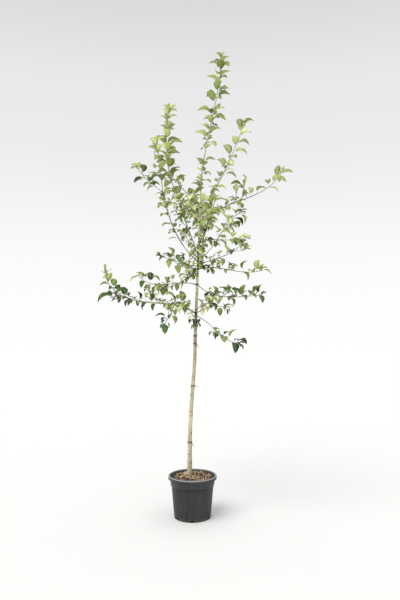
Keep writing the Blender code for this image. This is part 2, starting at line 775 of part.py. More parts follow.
def build_compost(collection, finish):
    """The compost: it fills the pot, heaped round the trunk, with a lumpy top."""
    edge = inner_radius(COMPOST_EDGE) - GAP
    rings = [(edge * n / COMPOST_RINGS, COMPOST_EDGE) for n in range(COMPOST_RINGS + 1)]
    below = [(inner_radius(POT_FLOOR) - GAP, POT_FLOOR + GAP), (0.0, POT_FLOOR + GAP)]
    body = spun(rings + below, FLUTES)
    rng = random.Random("compost")
    for vertex in body.verts:
        if vertex.co.z > COMPOST_EDGE / 2:
            share = math.hypot(vertex.co.x, vertex.co.y) / edge
            vertex.co.x += TRUNK_FOOT_X * (1 - share)
            vertex.co.y += TRUNK_FOOT_Y * (1 - share)
            vertex.co.z = compost_height(vertex.co.x, vertex.co.y)
            if share > LUMPY_TO:
                vertex.co.xy *= (inner_radius(vertex.co.z) - GAP) / edge
            elif share > LUMPY_FROM:
                vertex.co.z += rng.uniform(-COMPOST_LUMPS, COMPOST_LUMPS)
    mesh = bpy.data.meshes.new("compost")
    body.to_mesh(mesh)
    body.free()
    add_object("compost", mesh, collection, finish)


def trunk_levels():
    """Heights of the trunk's rings, closer together at the flare and at each knot."""
    levels = [trunk_ground() + GAP + ring for ring in FLARE_RINGS]
    count = round((FORK_HEIGHT - levels[-1]) / TRUNK_STEP)
    even = [levels[-1] + (FORK_HEIGHT - levels[-1]) * n / count for n in range(1, count + 1)]
    levels += [z for z in even if all(abs(z - knot) > KNOT_CLEAR for knot in KNOT_HEIGHTS)]
    for knot in KNOT_HEIGHTS:
        levels += [knot - KNOT_REACH, knot, knot + KNOT_REACH]
    return sorted(levels)


def trunk_tube(clearance):
    """The trunk as a tube that stands clearance proud of its true surface."""
    levels = trunk_levels()
    points = [trunk_point(level) for level in levels]
    radii = [trunk_radius(level) + clearance for level in levels]
    points[0].xy = points[1].xy
    points[0].z -= clearance
    points[-1].z += clearance
    return tube(points, radii, sides_resolution=TRUNK_SIDES_RESOLUTION)


def dead_stub(knot, heading, pitch, length):
    """A short dead snag that stands out of the trunk at a knot."""
    snag = Stem(trunk_point(knot), heading, pitch, length, *SNAG_RADII)
    return stem_tube(snag, 0.0, 1.0, sides_resolution=0)


def build_trunk(collection, finish):
    """The trunk with its root flare, pruning knots and dead snags."""
    snags = [dead_stub(*snag) for snag in SNAGS]
    add_object("trunk", fused([trunk_tube(0.0)] + snags), collection, finish)


def build_bough(limb, stem, trunk_cutter, collection, finish):
    """The bare foot of a limb, cut clear of the trunk."""
    mesh = stem_tube(stem, 0.0, joint_of(limb, stem), sides_resolution=1)
    add_object("bough_" + limb.name, cut_clear(mesh, trunk_cutter), collection, finish)


def build_foliage(limb, crown, profile, trunk_cutter, collection, finish):
    """A mass: its stem, twigs and leaves in one solid, clear of the bough or the trunk."""
    stem = crown.stems[limb.name]
    twigs, leaves = crown.mass(limb)
    joint = joint_of(limb, stem)
    pieces = [stem_tube(stem, joint, 1.0, clear_foot=joint > 0, profile=profile)]
    pieces += [stem_tube(twig, 0.0, 1.0, profile=profile) for twig in twigs]
    pieces += [leaf_mesh(leaf) for leaf in leaves]
    mesh = fused(pieces)
    if not joint:
        mesh = cut_clear(mesh, trunk_cutter)
    add_object("foliage_" + limb.name, mesh, collection, finish)


def main():
    """Builds the pot, the compost, the trunk, the boughs and the masses of foliage."""
    for obj in list(bpy.data.objects):
        bpy.data.objects.remove(obj)
    parts = bpy.data.collections.new("potted_crab_tree")
    cutters = bpy.data.collections.new("cutters")
    for collection in (parts, cutters):
        bpy.context.scene.collection.children.link(collection)
    bark = material("bark", (0.34, 0.28, 0.17), 0.85)
    foliage = material("foliage", (0.30, 0.40, 0.10), 0.55)
    plastic = material("pot_plastic", (0.035, 0.038, 0.042), 0.5)
    soil = material("compost", (0.13, 0.075, 0.045), 0.95)
    build_pot(parts, cutters, plastic)
    build_compost(parts, soil)
    build_trunk(parts, bark)
    trunk_cutter = bpy.data.objects.new("trunk_cutter", trunk_tube(GAP))
    hide_cutter(trunk_cutter, cutters)
    profile = triangle_profile(cutters)
    crown = Crown()
    for limb in LIMBS:
        if limb.bare:
            build_bough(limb, crown.stems[limb.name], trunk_cutter, parts, bark)
        build_foliage(limb, crown, profile, trunk_cutter, parts, foliage)


main()
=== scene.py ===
"""The looks of a young crab tree in a nursery pot.

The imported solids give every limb's place. The rule that grew them is written again here, and
carried on to finer twigs, real leaves, buds and bark. Sizes are in metres, angles in degrees.
The origin is the middle of the pot's underside, +X is the right of the main view and +Y is away.
"""

import logging
import math
import random
from dataclasses import dataclass
from enum import Enum
from typing import Any, Iterator, Sequence

import bmesh
import bpy
import numpy as np
from mathutils import Matrix, Vector, noise
from mathutils.bvhtree import BVHTree


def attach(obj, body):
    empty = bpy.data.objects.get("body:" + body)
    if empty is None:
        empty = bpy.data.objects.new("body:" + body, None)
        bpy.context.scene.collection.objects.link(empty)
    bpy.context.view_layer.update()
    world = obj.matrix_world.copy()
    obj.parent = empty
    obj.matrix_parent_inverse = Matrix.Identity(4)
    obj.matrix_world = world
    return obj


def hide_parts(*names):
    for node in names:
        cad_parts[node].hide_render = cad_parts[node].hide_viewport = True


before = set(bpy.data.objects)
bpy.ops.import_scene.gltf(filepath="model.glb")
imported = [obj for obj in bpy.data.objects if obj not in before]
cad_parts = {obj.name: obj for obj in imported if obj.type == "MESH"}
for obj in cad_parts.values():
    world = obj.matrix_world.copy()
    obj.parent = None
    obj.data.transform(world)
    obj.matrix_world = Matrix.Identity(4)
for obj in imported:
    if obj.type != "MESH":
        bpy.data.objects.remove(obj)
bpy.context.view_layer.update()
GAP = 0.0003
log = logging.getLogger("crab_tree")

Colour = tuple[float, float, float]
Line = tuple[np.ndarray, np.ndarray]


class Tint(Enum):
    """The tints that the leaves are dealt out in, from the shoots' tips to the old leaves."""

    LIME = "lime"
    FRESH = "fresh"
    MID = "mid"
    DEEP = "deep"


class Shade:
    """A number or colour inside a material, which Python's operators work on."""

    def __init__(self, nodes: "Nodes", output: bpy.types.NodeSocket) -> None:
        """Wraps an output socket of the material's nodes."""
        self.nodes = nodes
        self.output = output

    def _math(self, operation: str, first: Any, second: Any) -> "Shade":
        """Adds one Math node and returns its result."""
        return self.nodes.add("ShaderNodeMath", {"operation": operation}, {0: first, 1: second})

    def __add__(self, other: Any) -> "Shade":
        """self + other."""
        return self._math("ADD", self, other)

    __radd__ = __add__

    def __mul__(self, other: Any) -> "Shade":
        """self * other."""
        return self._math("MULTIPLY", self, other)

    __rmul__ = __mul__

    def __sub__(self, other: Any) -> "Shade":
        """self - other."""
        return self._math("SUBTRACT", self, other)

    def __rsub__(self, other: Any) -> "Shade":
        """other - self."""
        return self._math("SUBTRACT", other, self)

    def step(self, low: float, high: float) -> "Shade":
        """0 below low and 1 above high, with a smooth rise between."""
        return self.nodes.add(
            "ShaderNodeMapRange",
            {"interpolation_type": "SMOOTHSTEP"},
            {"Value": self, "From Min": low, "From Max": high},
        )


class Nodes:
    """A Principled material whose node tree is being written."""

    def __init__(self, name: str) -> None:
        """Makes the material with its Principled shader."""
        self.material = bpy.data.materials.new(name)
        self.material.use_nodes = True
        self.tree = self.material.node_tree
        self.shader = self.tree.nodes["Principled BSDF"]
        self.place = self.add("ShaderNodeTexCoord", output="Object")

    def add(
        self, kind: str, settings: dict | None = None, sockets: dict | None = None,
        output: int | str = 0,
    ) -> Shade:
        """Adds a node.

        Args:
            kind: the node's type.
            settings: its settings, set before its sockets; stops are a ramp's places and colours.
            sockets: values or Shades for its inputs, by name or number.
            output: which output is wanted.

        Returns:
            The output, as a Shade.
        """
        node = self.tree.nodes.new(kind)
        for name, value in (settings or {}).items():
            if name == "stops":
                self._set_stops(node.color_ramp, value)
            else:
                setattr(node, name, value)
        for name, value in (sockets or {}).items():
            self._feed(node.inputs[name], value)
        return Shade(self, node.outputs[output])

    def _set_stops(self, ramp: bpy.types.ColorRamp, stops: Sequence) -> None:
        """Gives a ramp its places and colours."""
        while len(ramp.elements) < len(stops):
            ramp.elements.new(0.5)
        for element, (place, colour) in zip(ramp.elements, stops):
            element.position = place
            element.color = (*colour, 1)

    def _feed(self, socket: bpy.types.NodeSocket, value: Any) -> None:
        """Links a Shade to a socket, or sets a plain value."""
        if isinstance(value, Shade):
            self.tree.links.new(value.output, socket)
        elif isinstance(value, tuple) and len(value) == 3 and socket.type == "RGBA":
            socket.default_value = (*value, 1)
        else:
            socket.default_value = value

    def parts_of(self, vector: Shade) -> list[Shade]:
        """A vector's three numbers."""
        parts = self.add("ShaderNodeSeparateXYZ", None, {0: vector})
        return [Shade(self, output) for output in parts.output.node.outputs]

    def noise(self, scale: float, detail: float = 3.0, stretch: Colour = (1, 1, 1)) -> Shade:
        """Noise from 0 to 1 over the object's own coordinates, stretched along its axes."""
        placed = self.add("ShaderNodeMapping", None, {"Vector": self.place, "Scale": stretch})
        return self.add(
            "ShaderNodeTexNoise", None, {"Vector": placed, "Scale": scale, "Detail": detail}
        )

    def cells(self, scale: float, stretch: Colour = (1, 1, 1)) -> Shade:
        """Distance to the nearest of scattered points."""
        placed = self.add("ShaderNodeMapping", None, {"Vector": self.place, "Scale": stretch})
        return self.add("ShaderNodeTexVoronoi", None, {"Vector": placed, "Scale": scale})

    def ramp(self, shade: Shade, *stops: tuple[float, Colour]) -> Shade:
        """A number turned to a colour, through stops."""
        return self.add("ShaderNodeValToRGB", {"stops": stops}, {"Fac": shade})

    def mix(self, share: Shade | float, first: Any, second: Any) -> Shade:
        """Two colours mixed by a share."""
        return self.add(
            "ShaderNodeMix",
            {"data_type": "RGBA"},
            {"Factor": share, 6: first, 7: second},
            output=2,
        )

    def finish(self, **sockets: Any) -> bpy.types.Material:
        """Feeds the Principled shader; underscores in a name stand for spaces."""
        for name, value in sockets.items():
            self._feed(self.shader.inputs[name.replace("_", " ")], value)
        return self.material

    def bump(self, height: Shade, distance: float, strength: float = 1.0) -> Shade:
        """A normal from a height."""
        return self.add(
            "ShaderNodeBump", None, {"Height": height, "Distance": distance, "Strength": strength}
        )


@dataclass(frozen=True)
class BarkFinish:
    """Olive to beige bark with dark spots and a greyer film, and painted light making it paler higher up.

    It reads each point's place, whose first number is how dark a knot, a scar or painted shade is there.
    The last two fields hold the paler painted-light colour, and the heights where it begins and where it is
    all.
    """

    name: str
    pale: Colour
    dark: Colour
    scar_and_shade: Colour
    spot_size: float
    grain: float
    young: Colour
    painted_light_from: tuple[float, float]

    def material(self) -> bpy.types.Material:
        """Builds the material."""
        nodes = Nodes(self.name)
        broad = nodes.noise(9.0, 4.0, (1.6, 1.6, 0.7))
        fine = nodes.noise(self.grain, 5.0, (1.0, 1.0, 0.35))
        colour = nodes.ramp(broad * 0.55 + fine * 0.45, (0.40, self.dark), (0.60, self.pale))
        spots = 1 - nodes.cells(1 / self.spot_size, (1.0, 1.0, 0.55)).step(0.16, 0.30)
        patchy = nodes.noise(30.0, 2.0).step(0.48, 0.60)
        spots = spots * patchy
        shaded = nodes.mix(spots, colour, tuple(0.35 * part for part in self.dark))
        film = nodes.noise(5.0, 2.0).step(0.52, 0.72)
        shaded = nodes.mix(film * 0.35, shaded, (0.40, 0.42, 0.32))
        # Painted light: the bark is made paler towards the top, where the crown's shade falls on it.
        young = nodes.parts_of(nodes.place)[2].step(*self.painted_light_from)
        shaded = nodes.mix(young * (0.45 + 0.5 * fine), shaded, self.young)
        place = nodes.add("ShaderNodeAttribute", {"attribute_name": Buffer.PLACE}, output=1)
        marks = nodes.parts_of(place)[0] * (0.55 + 0.9 * fine)
        shaded = nodes.mix(marks.step(0.0, 1.0), shaded, self.scar_and_shade)
        height = fine * 0.6 + nodes.noise(self.grain * 4, 3.0) * 0.4 - spots * 0.5
        return nodes.finish(
            Base_Color=shaded, Roughness=0.72 + 0.18 * broad, Normal=nodes.bump(height, 0.0016)
        )


@dataclass(frozen=True)
class LeafFinish:
    """One face of a leaf: veins, a foot darkened with painted shade, and a tint that differs from leaf to leaf.

    It reads each point's place: along the leaf, across it, and the leaf's own share of light.
    """

    name: str
    colour: Colour
    gloss: float
    rib: float

    def material(self) -> bpy.types.Material:
        """Builds the material."""
        nodes = Nodes(self.name)
        place = nodes.add("ShaderNodeAttribute", {"attribute_name": Buffer.PLACE}, output=1)
        along, across, own = nodes.parts_of(place)
        aside = nodes.add("ShaderNodeMath", {"operation": "ABSOLUTE"}, {0: across})
        wander = nodes.noise(60.0, 3.0)
        slant = along * 9.0 - aside * 11.0
        side_veins = nodes.add("ShaderNodeMath", {"operation": "PINGPONG"}, {0: slant, 1: 0.5})
        veins = 1 - side_veins.step(0.02, 0.14)
        rib = 1 - aside.step(0.004, 0.016)
        light = tuple(min(1.0, 1.30 * part) for part in self.colour)
        dark = tuple(0.62 * part for part in self.colour)
        # Painted shade: the leaf's foot is darkened, where other leaves shade it.
        foot = tuple(0.50 * part for part in self.colour)
        colour = nodes.ramp(own * 0.75 + wander * 0.25, (0.20, dark), (0.80, light))
        colour = nodes.mix(along.step(0.18, 0.62), nodes.mix(0.5, colour, foot), colour)
        pale = tuple(0.5 * part + 0.22 for part in self.colour)
        colour = nodes.mix(rib * self.rib + veins * 0.16 * self.rib, colour, pale)
        height = wander * 0.4 - veins * 0.5 - rib
        return nodes.finish(
            Base_Color=colour,
            Roughness=self.gloss + 0.15 * wander,
            Normal=nodes.bump(height, 0.0004, 0.45),
            Specular_IOR_Level=0.32,
        )


@dataclass(frozen=True)
class PlasticFinish:
    """Dark moulded plastic, dusty and muddy at its foot, with painted highlights on its lip and bead.

    The heights are those of the painted lip highlight's and the bead's lower and upper edge, the
    painted shade line under the collar, and the mud's top.
    """

    name: str
    colour: Colour
    dust_and_highlight: Colour
    mud: Colour
    lip_highlight: tuple[float, float]
    bead: tuple[float, float]
    step: float
    splash: float

    def material(self) -> bpy.types.Material:
        """Builds the material."""
        nodes = Nodes(self.name)
        height = nodes.parts_of(nodes.place)[2]
        dust = nodes.noise(6.0, 5.0, (1.0, 1.0, 0.5)).step(0.40, 0.68)
        grain = nodes.noise(900.0, 2.0)
        streaks = nodes.noise(55.0, 3.0, (1.0, 1.0, 0.06)).step(0.40, 0.70)
        scuffs = nodes.noise(60.0, 4.0, (1.0, 1.0, 6.0)).step(0.60, 0.72)
        # Painted highlight: the top of the rolled lip is painted pale where it catches the light.
        lip_highlight = height.step(*self.lip_highlight)
        low, high = self.bead
        middle, margin = (low + high) / 2, (high - low) / 2
        # The bead is painted paler: partly dust, partly a painted highlight along its round.
        bead = height.step(low, middle) * (1 - height.step(middle, high + margin))
        dusty = dust * 0.14 + scuffs * 0.10 + streaks * 0.07
        colour = nodes.mix(dusty, self.colour, self.dust_and_highlight)
        collar = height.step(self.step, self.step + 0.006)
        colour = nodes.mix(bead * 0.30 + collar * 0.10, colour, self.dust_and_highlight)
        colour = nodes.mix(lip_highlight, colour, tuple(1.75 * part for part in self.dust_and_highlight))
        # Painted shade: a near-black band just under the collar's foot, where the collar overhangs the wall.
        line = height.step(self.step - 0.009, self.step - 0.003) * (1 - collar)
        colour = nodes.mix(line * 0.85, colour, (0.002, 0.002, 0.002))
        splashed = (1 - height.step(0.0, self.splash)) * nodes.noise(40.0, 4.0).step(0.35, 0.62)
        colour = nodes.mix(splashed * 0.7, colour, self.mud)
        return nodes.finish(
            Base_Color=colour,
            Roughness=0.38 + 0.2 * dust + 0.08 * grain - 0.06 * lip_highlight,
            Normal=nodes.bump(grain + scuffs * 0.5, 0.0002, 0.5),
            Specular_IOR_Level=0.42,
        )


@dataclass(frozen=True)
class ChipFinish:
    """Composted bark, from near black to tan; also the near-black painted shadow in the pot's notches."""

    name: str
    dark: Colour
    light: Colour
    shine: float = 0.5

    def material(self) -> bpy.types.Material:
        """Builds the material."""
        nodes = Nodes(self.name)
        broad = nodes.noise(70.0, 3.0)
        fibres = nodes.noise(600.0, 4.0, (1.0, 0.3, 1.0))
        colour = nodes.ramp(broad * 0.6 + fibres * 0.4, (0.35, self.dark), (0.65, self.light))
        return nodes.finish(
            Base_Color=colour, Roughness=0.85 + 0.1 * fibres, Normal=nodes.bump(fibres, 0.0012),
            Specular_IOR_Level=self.shine,
        )


class Buffer:
    """Points and faces gathered for one piece, with the finish that each face takes."""

    PLACE = "place"

    def __init__(self) -> None:
        """Starts empty."""
        self.points: list[np.ndarray] = []
        self.places: list[np.ndarray] = []
        self.faces: list[tuple[int, ...]] = []
        self.finishes: list[int] = []
        self.count = 0

    def add(
        self, points: np.ndarray, faces: Sequence, finish: int | Sequence[int] = 0,
        places: np.ndarray | None = None,
    ) -> None:
        """Adds a shell.

        Args:
            points: its points, one a row.
            faces: its faces, as numbers of points.
            finish: the finish of all its faces, or one for each.
            places: for each point, where it stands on its shell, for the material to read.
        """
        self.points.append(np.asarray(points, float))
        self.places.append(np.zeros((len(points), 3)) if places is None else places)
        self.faces += [tuple(self.count + corner for corner in face) for face in faces]
        self.finishes += [finish] * len(faces) if isinstance(finish, int) else list(finish)
        self.count += len(points)

    def piece(self, name: str, materials: Sequence[bpy.types.Material]) -> bpy.types.Object:
        """Makes the object, smooth, with its faces' finishes."""
        mesh = bpy.data.meshes.new(name)
        mesh.from_pydata(np.concatenate(self.points), [], self.faces)
        place = mesh.attributes.new(self.PLACE, "FLOAT_VECTOR", "POINT")
        place.data.foreach_set("vector", np.concatenate(self.places).ravel())
        for made in materials:
            mesh.materials.append(made)
        mesh.polygons.foreach_set("material_index", self.finishes)
        mesh.shade_smooth()
        made = bpy.data.objects.new(name, mesh)
        bpy.context.scene.collection.objects.link(made)
        return made


def settle(piece: bpy.types.Object, slot: str, *nodes: str) -> None:
    """Rides a piece on the one body and hides the CAD nodes that it stands for."""
    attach(piece, "root")
    if nodes:
        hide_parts(*nodes)
    log.info("%s: %d faces", piece.name, len(piece.data.polygons))


def direction(heading: float, pitch: float) -> Vector:
    """Unit vector for a heading and a pitch."""
    turn, slope = math.radians(heading), math.radians(pitch)
    return Vector(
        (math.cos(slope) * math.cos(turn), math.cos(slope) * math.sin(turn), math.sin(slope))
    )


def slope_at(pitch: Sequence[float], share: float) -> float:
    """Pitch along a limb, through its foot, middle and tip values."""
    foot, middle, tip = pitch
    return (
        foot * (1 - share) * (1 - 2 * share)
        + 4 * middle * share * (1 - share)
        + tip * share * (2 * share - 1)
    )


def through(stops: Sequence[tuple[float, float]], place: float) -> float:
    """A smooth value at a place, through stops of (place, value)."""
    last = len(stops) - 1
    n = next((n for n in range(last) if place <= stops[n + 1][0]), last - 1)

    def slope(k: int) -> float:
        """The slope at a stop, from the stops on either side."""
        (low, first), (high, second) = stops[max(k - 1, 0)], stops[min(k + 1, last)]
        return (second - first) / (high - low)

    (low, first), (high, second) = stops[n], stops[n + 1]
    run = high - low
    t = (place - low) / run
    return (
        first * (1 - 3 * t**2 + 2 * t**3)
        + second * (3 * t**2 - 2 * t**3)
        + run * slope(n) * (t - 2 * t**2 + t**3)
        + run * slope(n + 1) * (t**3 - t**2)
    )


@dataclass(frozen=True)
class Limb:
    """One limb of the crown, with the meanings that its row has in the source.

    heading is 0 to the right and 90 away. pitch is the slope at foot, middle and tip. bare is
    the share with no leaves, spacing the run between leaves, droop how far they hang, twigs the
    number of seeded side twigs, and shoots the long ones: share, heading, pitch and length.
    """

    name: str
    height: float
    heading: float
    pitch: tuple
    length: float
    bare: float
    radius: float
    spacing: float
    droop: float
    twigs: int = 0
    shoots: tuple = ()


@dataclass(frozen=True)
class PotSizes:
    """The pot's section."""

    height: float = 0.242
    rim_radius: float = 0.1425
    rim_depth: float = 0.020
    collar_radius: float = 0.1300
    collar_foot: float = 0.186
    collar_foot_radius: float = 0.1280
    wall_top_radius: float = 0.1235
    wall_foot_radius: float = 0.1080
    foot_radius: float = 0.1070
    inner_top_radius: float = 0.1272
    inner_foot_radius: float = 0.1018
    floor: float = 0.004
    flutes: int = 36
    flute_foot: float = 0.014
    flute_depth: float = 0.0016
    compost_edge: float = 0.2235
    compost_lean: tuple = (0.0025, 0.0090)
    compost_dome: float = 0.006
    heap_height: float = 0.010
    heap_width: float = 0.040
    heap_flat: float = 0.026

    def inner_radius(self, height: float) -> float:
        """Radius of the inside, which is a plain cone."""
        share = (height - self.floor) / (self.height - self.floor)
        return self.inner_foot_radius + (self.inner_top_radius - self.inner_foot_radius) * share


POT = PotSizes()


@dataclass(frozen=True)
class TrunkSizes:
    """The trunk's line, thickness, knots and dead snags."""

    foot_x: float = -0.018
    foot_y: float = 0.020
    fork_height: float = 1.855
    sway: tuple = ((0.0, -0.018), (0.19, -0.0125), (0.41, 0.0115), (0.53, 0.0165), (1.0, 0.048))
    foot_radius: float = 0.0130
    fork_radius: float = 0.0058
    flare_radius: float = 0.0060
    flare_height: float = 0.035
    knot_swell: float = 0.0021
    scar_height: float = 0.0042
    scar_depth: float = 0.62
    scars: tuple = (
        (0.315, -50), (0.360, -110), (0.479, -55), (0.586, -85), (0.611, -120), (0.705, -115),
        (0.748, -130), (0.798, -45), (0.920, -100), (0.947, -70), (0.995, -75), (1.095, -60),
    )
    knot_length: float = 0.010
    knots: tuple = (0.315, 0.430, 0.590, 0.762, 0.905, 1.012, 1.058, 1.105)
    rings: tuple = (0.430, 0.762, 1.012, 1.058)
    snags: tuple = (
        (0.430, -20, (-20, -50, -62), 0.040),
        (0.762, 10, (-8, -14, -4), 0.030),
        (1.012, -10, (-15, -50, -80), 0.036),
    )
    snag_radii: tuple = (0.0022, 0.0011)

    def compost_height(self, x: float, y: float) -> float:
        """Height of the compost: domed, steeper at the wall, and heaped at the trunk."""
        away = max(math.hypot(x - self.foot_x, y - self.foot_y) - POT.heap_flat, 0.0)
        rim = POT.inner_radius(POT.compost_edge)
        dome = POT.compost_dome * (1 - min(math.hypot(x, y) / rim, 1.0) ** 6)
        heap = math.exp(-((away / POT.heap_width) ** 2))
        right, away_from = POT.compost_lean
        lean = (right * x + away_from * y) / rim * (1 - heap)
        return POT.compost_edge + dome + lean + POT.heap_height * heap

    def ground(self) -> float:
        """Height of the compost under the trunk."""
        return self.compost_height(self.foot_x, self.foot_y)

    def point(self, height: float) -> Vector:
        """Centre of the trunk at a height above the floor."""
        share = (height - self.ground()) / (self.fork_height - self.ground())
        return Vector((through(self.sway, share), self.foot_y * (1 - share), height))

    def radius(self, height: float) -> float:
        """Radius of the trunk there, with its taper, root flare and knots."""
        share = (height - self.ground()) / (self.fork_height - self.ground())
        radius = self.foot_radius + (self.fork_radius - self.foot_radius) * share
        radius += self.flare_radius * math.exp(-(height - self.ground()) / self.flare_height)
        for knot in self.knots:
            radius += self.knot_swell * math.exp(-(((height - knot) / self.knot_length) ** 2))
        return radius

    def darkness(self, points: np.ndarray) -> np.ndarray:
        """How dark each point of the bark is: 1 on a knot's ring, on a painted shade ring or in a scar's
        middle.
        """
        # Painted shade: a dark ring round the trunk at each bough's foot, where the bough shades it.
        painted_shade_heights = [limb.height for limb in LIMBS if limb.bare]
        found = np.zeros(len(points))
        for height in (*self.rings, *painted_shade_heights):
            found += np.exp(-(((points[:, 2] - height) / self.scar_height) ** 2))
        for height, heading in self.scars:
            spot = self.point(height) + direction(heading, 0) * self.radius(height)
            away = np.linalg.norm(points - np.array(spot), axis=1)
            found += self.scar_depth * np.exp(-((away / (1.6 * self.scar_height)) ** 2))
        return np.minimum(found, 1.0)


TRUNK = TrunkSizes()

LIMBS = (
    Limb("leader", TRUNK.fork_height, 0, (92, 78, 87), 0.895, 0.08, 0.0048, 0.034, 0.00, 0),
    Limb("right_low", 1.176, -20, (-18, -41, -9), 0.310, 0.38, 0.0025, 0.036, 0.30, 0),
    Limb("right_front", 1.196, -50, (12, 9, -23), 0.270, 0.20, 0.0027, 0.032, 0.12, 1),
    Limb("right_long", 1.366, 12, (-47, -2, 1), 0.425, 0.22, 0.0029, 0.030, 0.14, 0,
         ((0.40, -60, 8, 0.09), (0.55, 70, 5, 0.10))),
    Limb("right_level", 1.456, -12, (15, -11, 17), 0.390, 0.06, 0.0029, 0.035, 0.16, 1),
    Limb("right_rising", 1.482, 32, (22, 23, 57), 0.420, 0.16, 0.0029, 0.036, 0.10, 1),
    Limb("right_twig", 1.619, -40, (11, -7, 1), 0.300, 0.20, 0.0025, 0.030, 0.10, 0),
    Limb("right_steep", 1.518, -30, (18, 53, 20), 0.390, 0.32, 0.0029, 0.025, 0.04, 1),
    Limb("right_wide", 1.738, 14, (45, 23, 60), 0.645, 0.18, 0.0038, 0.034, 0.06, 1,
         ((0.47, -5, 70, 0.11),)),
    Limb("right_tall", 1.826, -18, (44, 63, 67), 0.550, 0.14, 0.0038, 0.030, 0.04, 1),
    Limb("left_long", 1.190, 186, (37, 7, 90), 0.645, 0.10, 0.0038, 0.030, 0.12, 1,
         ((0.22, 195, -70, 0.125), (0.36, 150, 35, 0.11), (0.66, 178, -14, 0.07))),
    Limb("left_back", 1.362, 150, (19, -2, 42), 0.440, 0.16, 0.0031, 0.031, 0.12, 1,
         ((0.30, 215, -25, 0.10),)),
    Limb("left_drooping", 1.474, 215, (-2, 12, 8), 0.262, 0.16, 0.0027, 0.034, 0.38, 0),
    Limb("left_spur", 1.441, 235, (-5, -24, -47), 0.165, 0.0, 0.0024, 0.026, 0.25, 0),
    Limb("left_tall", 1.500, 192, (38, 75, 81), 0.760, 0.16, 0.0037, 0.030, 0.04, 1,
         ((0.62, 182, 34, 0.22),)),
    Limb("left_inner", 1.758, 165, (31, 79, 95), 0.765, 0.12, 0.0040, 0.023, 0.04, 1),
    Limb("left_front", 1.530, 220, (68, 62, 68), 0.362, 0.20, 0.0032, 0.028, 0.06, 1,
         ((0.50, 195, 45, 0.13),)),
    Limb("left_upper", 1.826, 130, (45, 41, 66), 0.500, 0.14, 0.0035, 0.034, 0.06, 1),
    Limb("front_low", 1.186, 243, (22, 14, 10), 0.270, 0.20, 0.0028, 0.034, 0.15, 0),
    Limb("front_middle", 1.600, 285, (30, 26, 48), 0.400, 0.12, 0.0034, 0.033, 0.06, 1),
    Limb("front_upper", 1.752, 256, (32, 38, 56), 0.190, 0.12, 0.0033, 0.036, 0.06, 1),
    Limb("back_low", 1.214, 72, (18, 10, 30), 0.420, 0.20, 0.0034, 0.039, 0.14, 1),
    Limb("back_middle", 1.455, 116, (12, 12, 40), 0.430, 0.16, 0.0034, 0.037, 0.14, 1),
    Limb("back_steep", 1.640, 85, (35, 40, 62), 0.470, 0.14, 0.0034, 0.036, 0.08, 1),
    Limb("back_upper", 1.745, 98, (28, 30, 52), 0.340, 0.12, 0.0033, 0.036, 0.06, 1),
    Limb("spur_left", 1.580, 176, (30, 45, 60), 0.130, 0.0, 0.0022, 0.020, 0.05, 0),
    Limb("spur_right", 1.690, -30, (30, 45, 60), 0.120, 0.0, 0.0022, 0.020, 0.05, 0),
    Limb("spur_front", 1.500, 268, (30, 40, 60), 0.110, 0.0, 0.0022, 0.020, 0.05, 0),
    Limb("spur_middle", 1.700, 274, (20, 40, 60), 0.120, 0.0, 0.0022, 0.020, 0.05, 0),
    Limb("spur_back", 1.560, 60, (30, 40, 60), 0.120, 0.0, 0.0022, 0.020, 0.05, 0),
    Limb("spur_low", 1.170, 268, (-4, -34, -62), 0.074, 0.0, 0.0019, 0.022, 0.30, 0),
)


class Stem:
    """The centre line of a limb or twig, with its radius, both read at a share of its length."""

    FINE = 48
    STEP = 0.050
    SWELL = 0.35
    SWELL_LENGTH = 0.018

    def __init__(
        self, start: Vector, heading: float, pitch: Sequence[float], length: float,
        radius: float, tip_radius: float,
    ) -> None:
        """Follows the pitch in fine steps, and keeps the corners of the source's straight runs."""
        self.length = length
        self.radii = (radius, tip_radius)
        self.path = [Vector(start)]
        for step in range(self.FINE):
            slope = slope_at(pitch, (step + 0.5) / self.FINE)
            self.path.append(self.path[-1] + direction(heading, slope) * (length / self.FINE))
        self.runs = max(2, round(length / self.STEP))
        self.corners = [self.path[round(n * self.FINE / self.runs)] for n in range(self.runs + 1)]

    def run_at(self, share: float) -> tuple[int, float]:
        """Which straight run of the line a share falls in, and how far along that run."""
        place = min(max(share, 0.0), 1.0) * self.runs
        index = min(int(place), self.runs - 1)
        return index, place - index

    def point(self, share: float) -> Vector:
        """The source's centre line there."""
        index, along = self.run_at(share)
        return self.corners[index].lerp(self.corners[index + 1], along)

    def smooth_point(self, share: float) -> Vector:
        """The same line without its corners."""
        place = min(max(share, 0.0), 1.0) * self.FINE
        index = min(int(place), self.FINE - 1)
        return self.path[index].lerp(self.path[index + 1], place - index)

    def tangent(self, share: float) -> Vector:
        """The way the line runs there."""
        index, _ = self.run_at(share)
        return (self.corners[index + 1] - self.corners[index]).normalized()

    def radius(self, share: float) -> float:
        """The radius there, with the swelling at the foot."""
        foot, tip = self.radii
        swell = 1 + self.SWELL * math.exp(-share * self.length / self.SWELL_LENGTH)
        return (foot + (tip - foot) * share) * swell

    def sample(self) -> list[Vector]:
        """Points along the outer part, for asking what it touches."""
        return [self.point(0.3 + 0.1 * n) for n in range(8)]

    def middle_of_run(self, share: float) -> float:
        """The middle of the straight run that a share falls in, where the stem is parted."""
        return (self.run_at(share)[0] + 0.5) / self.runs


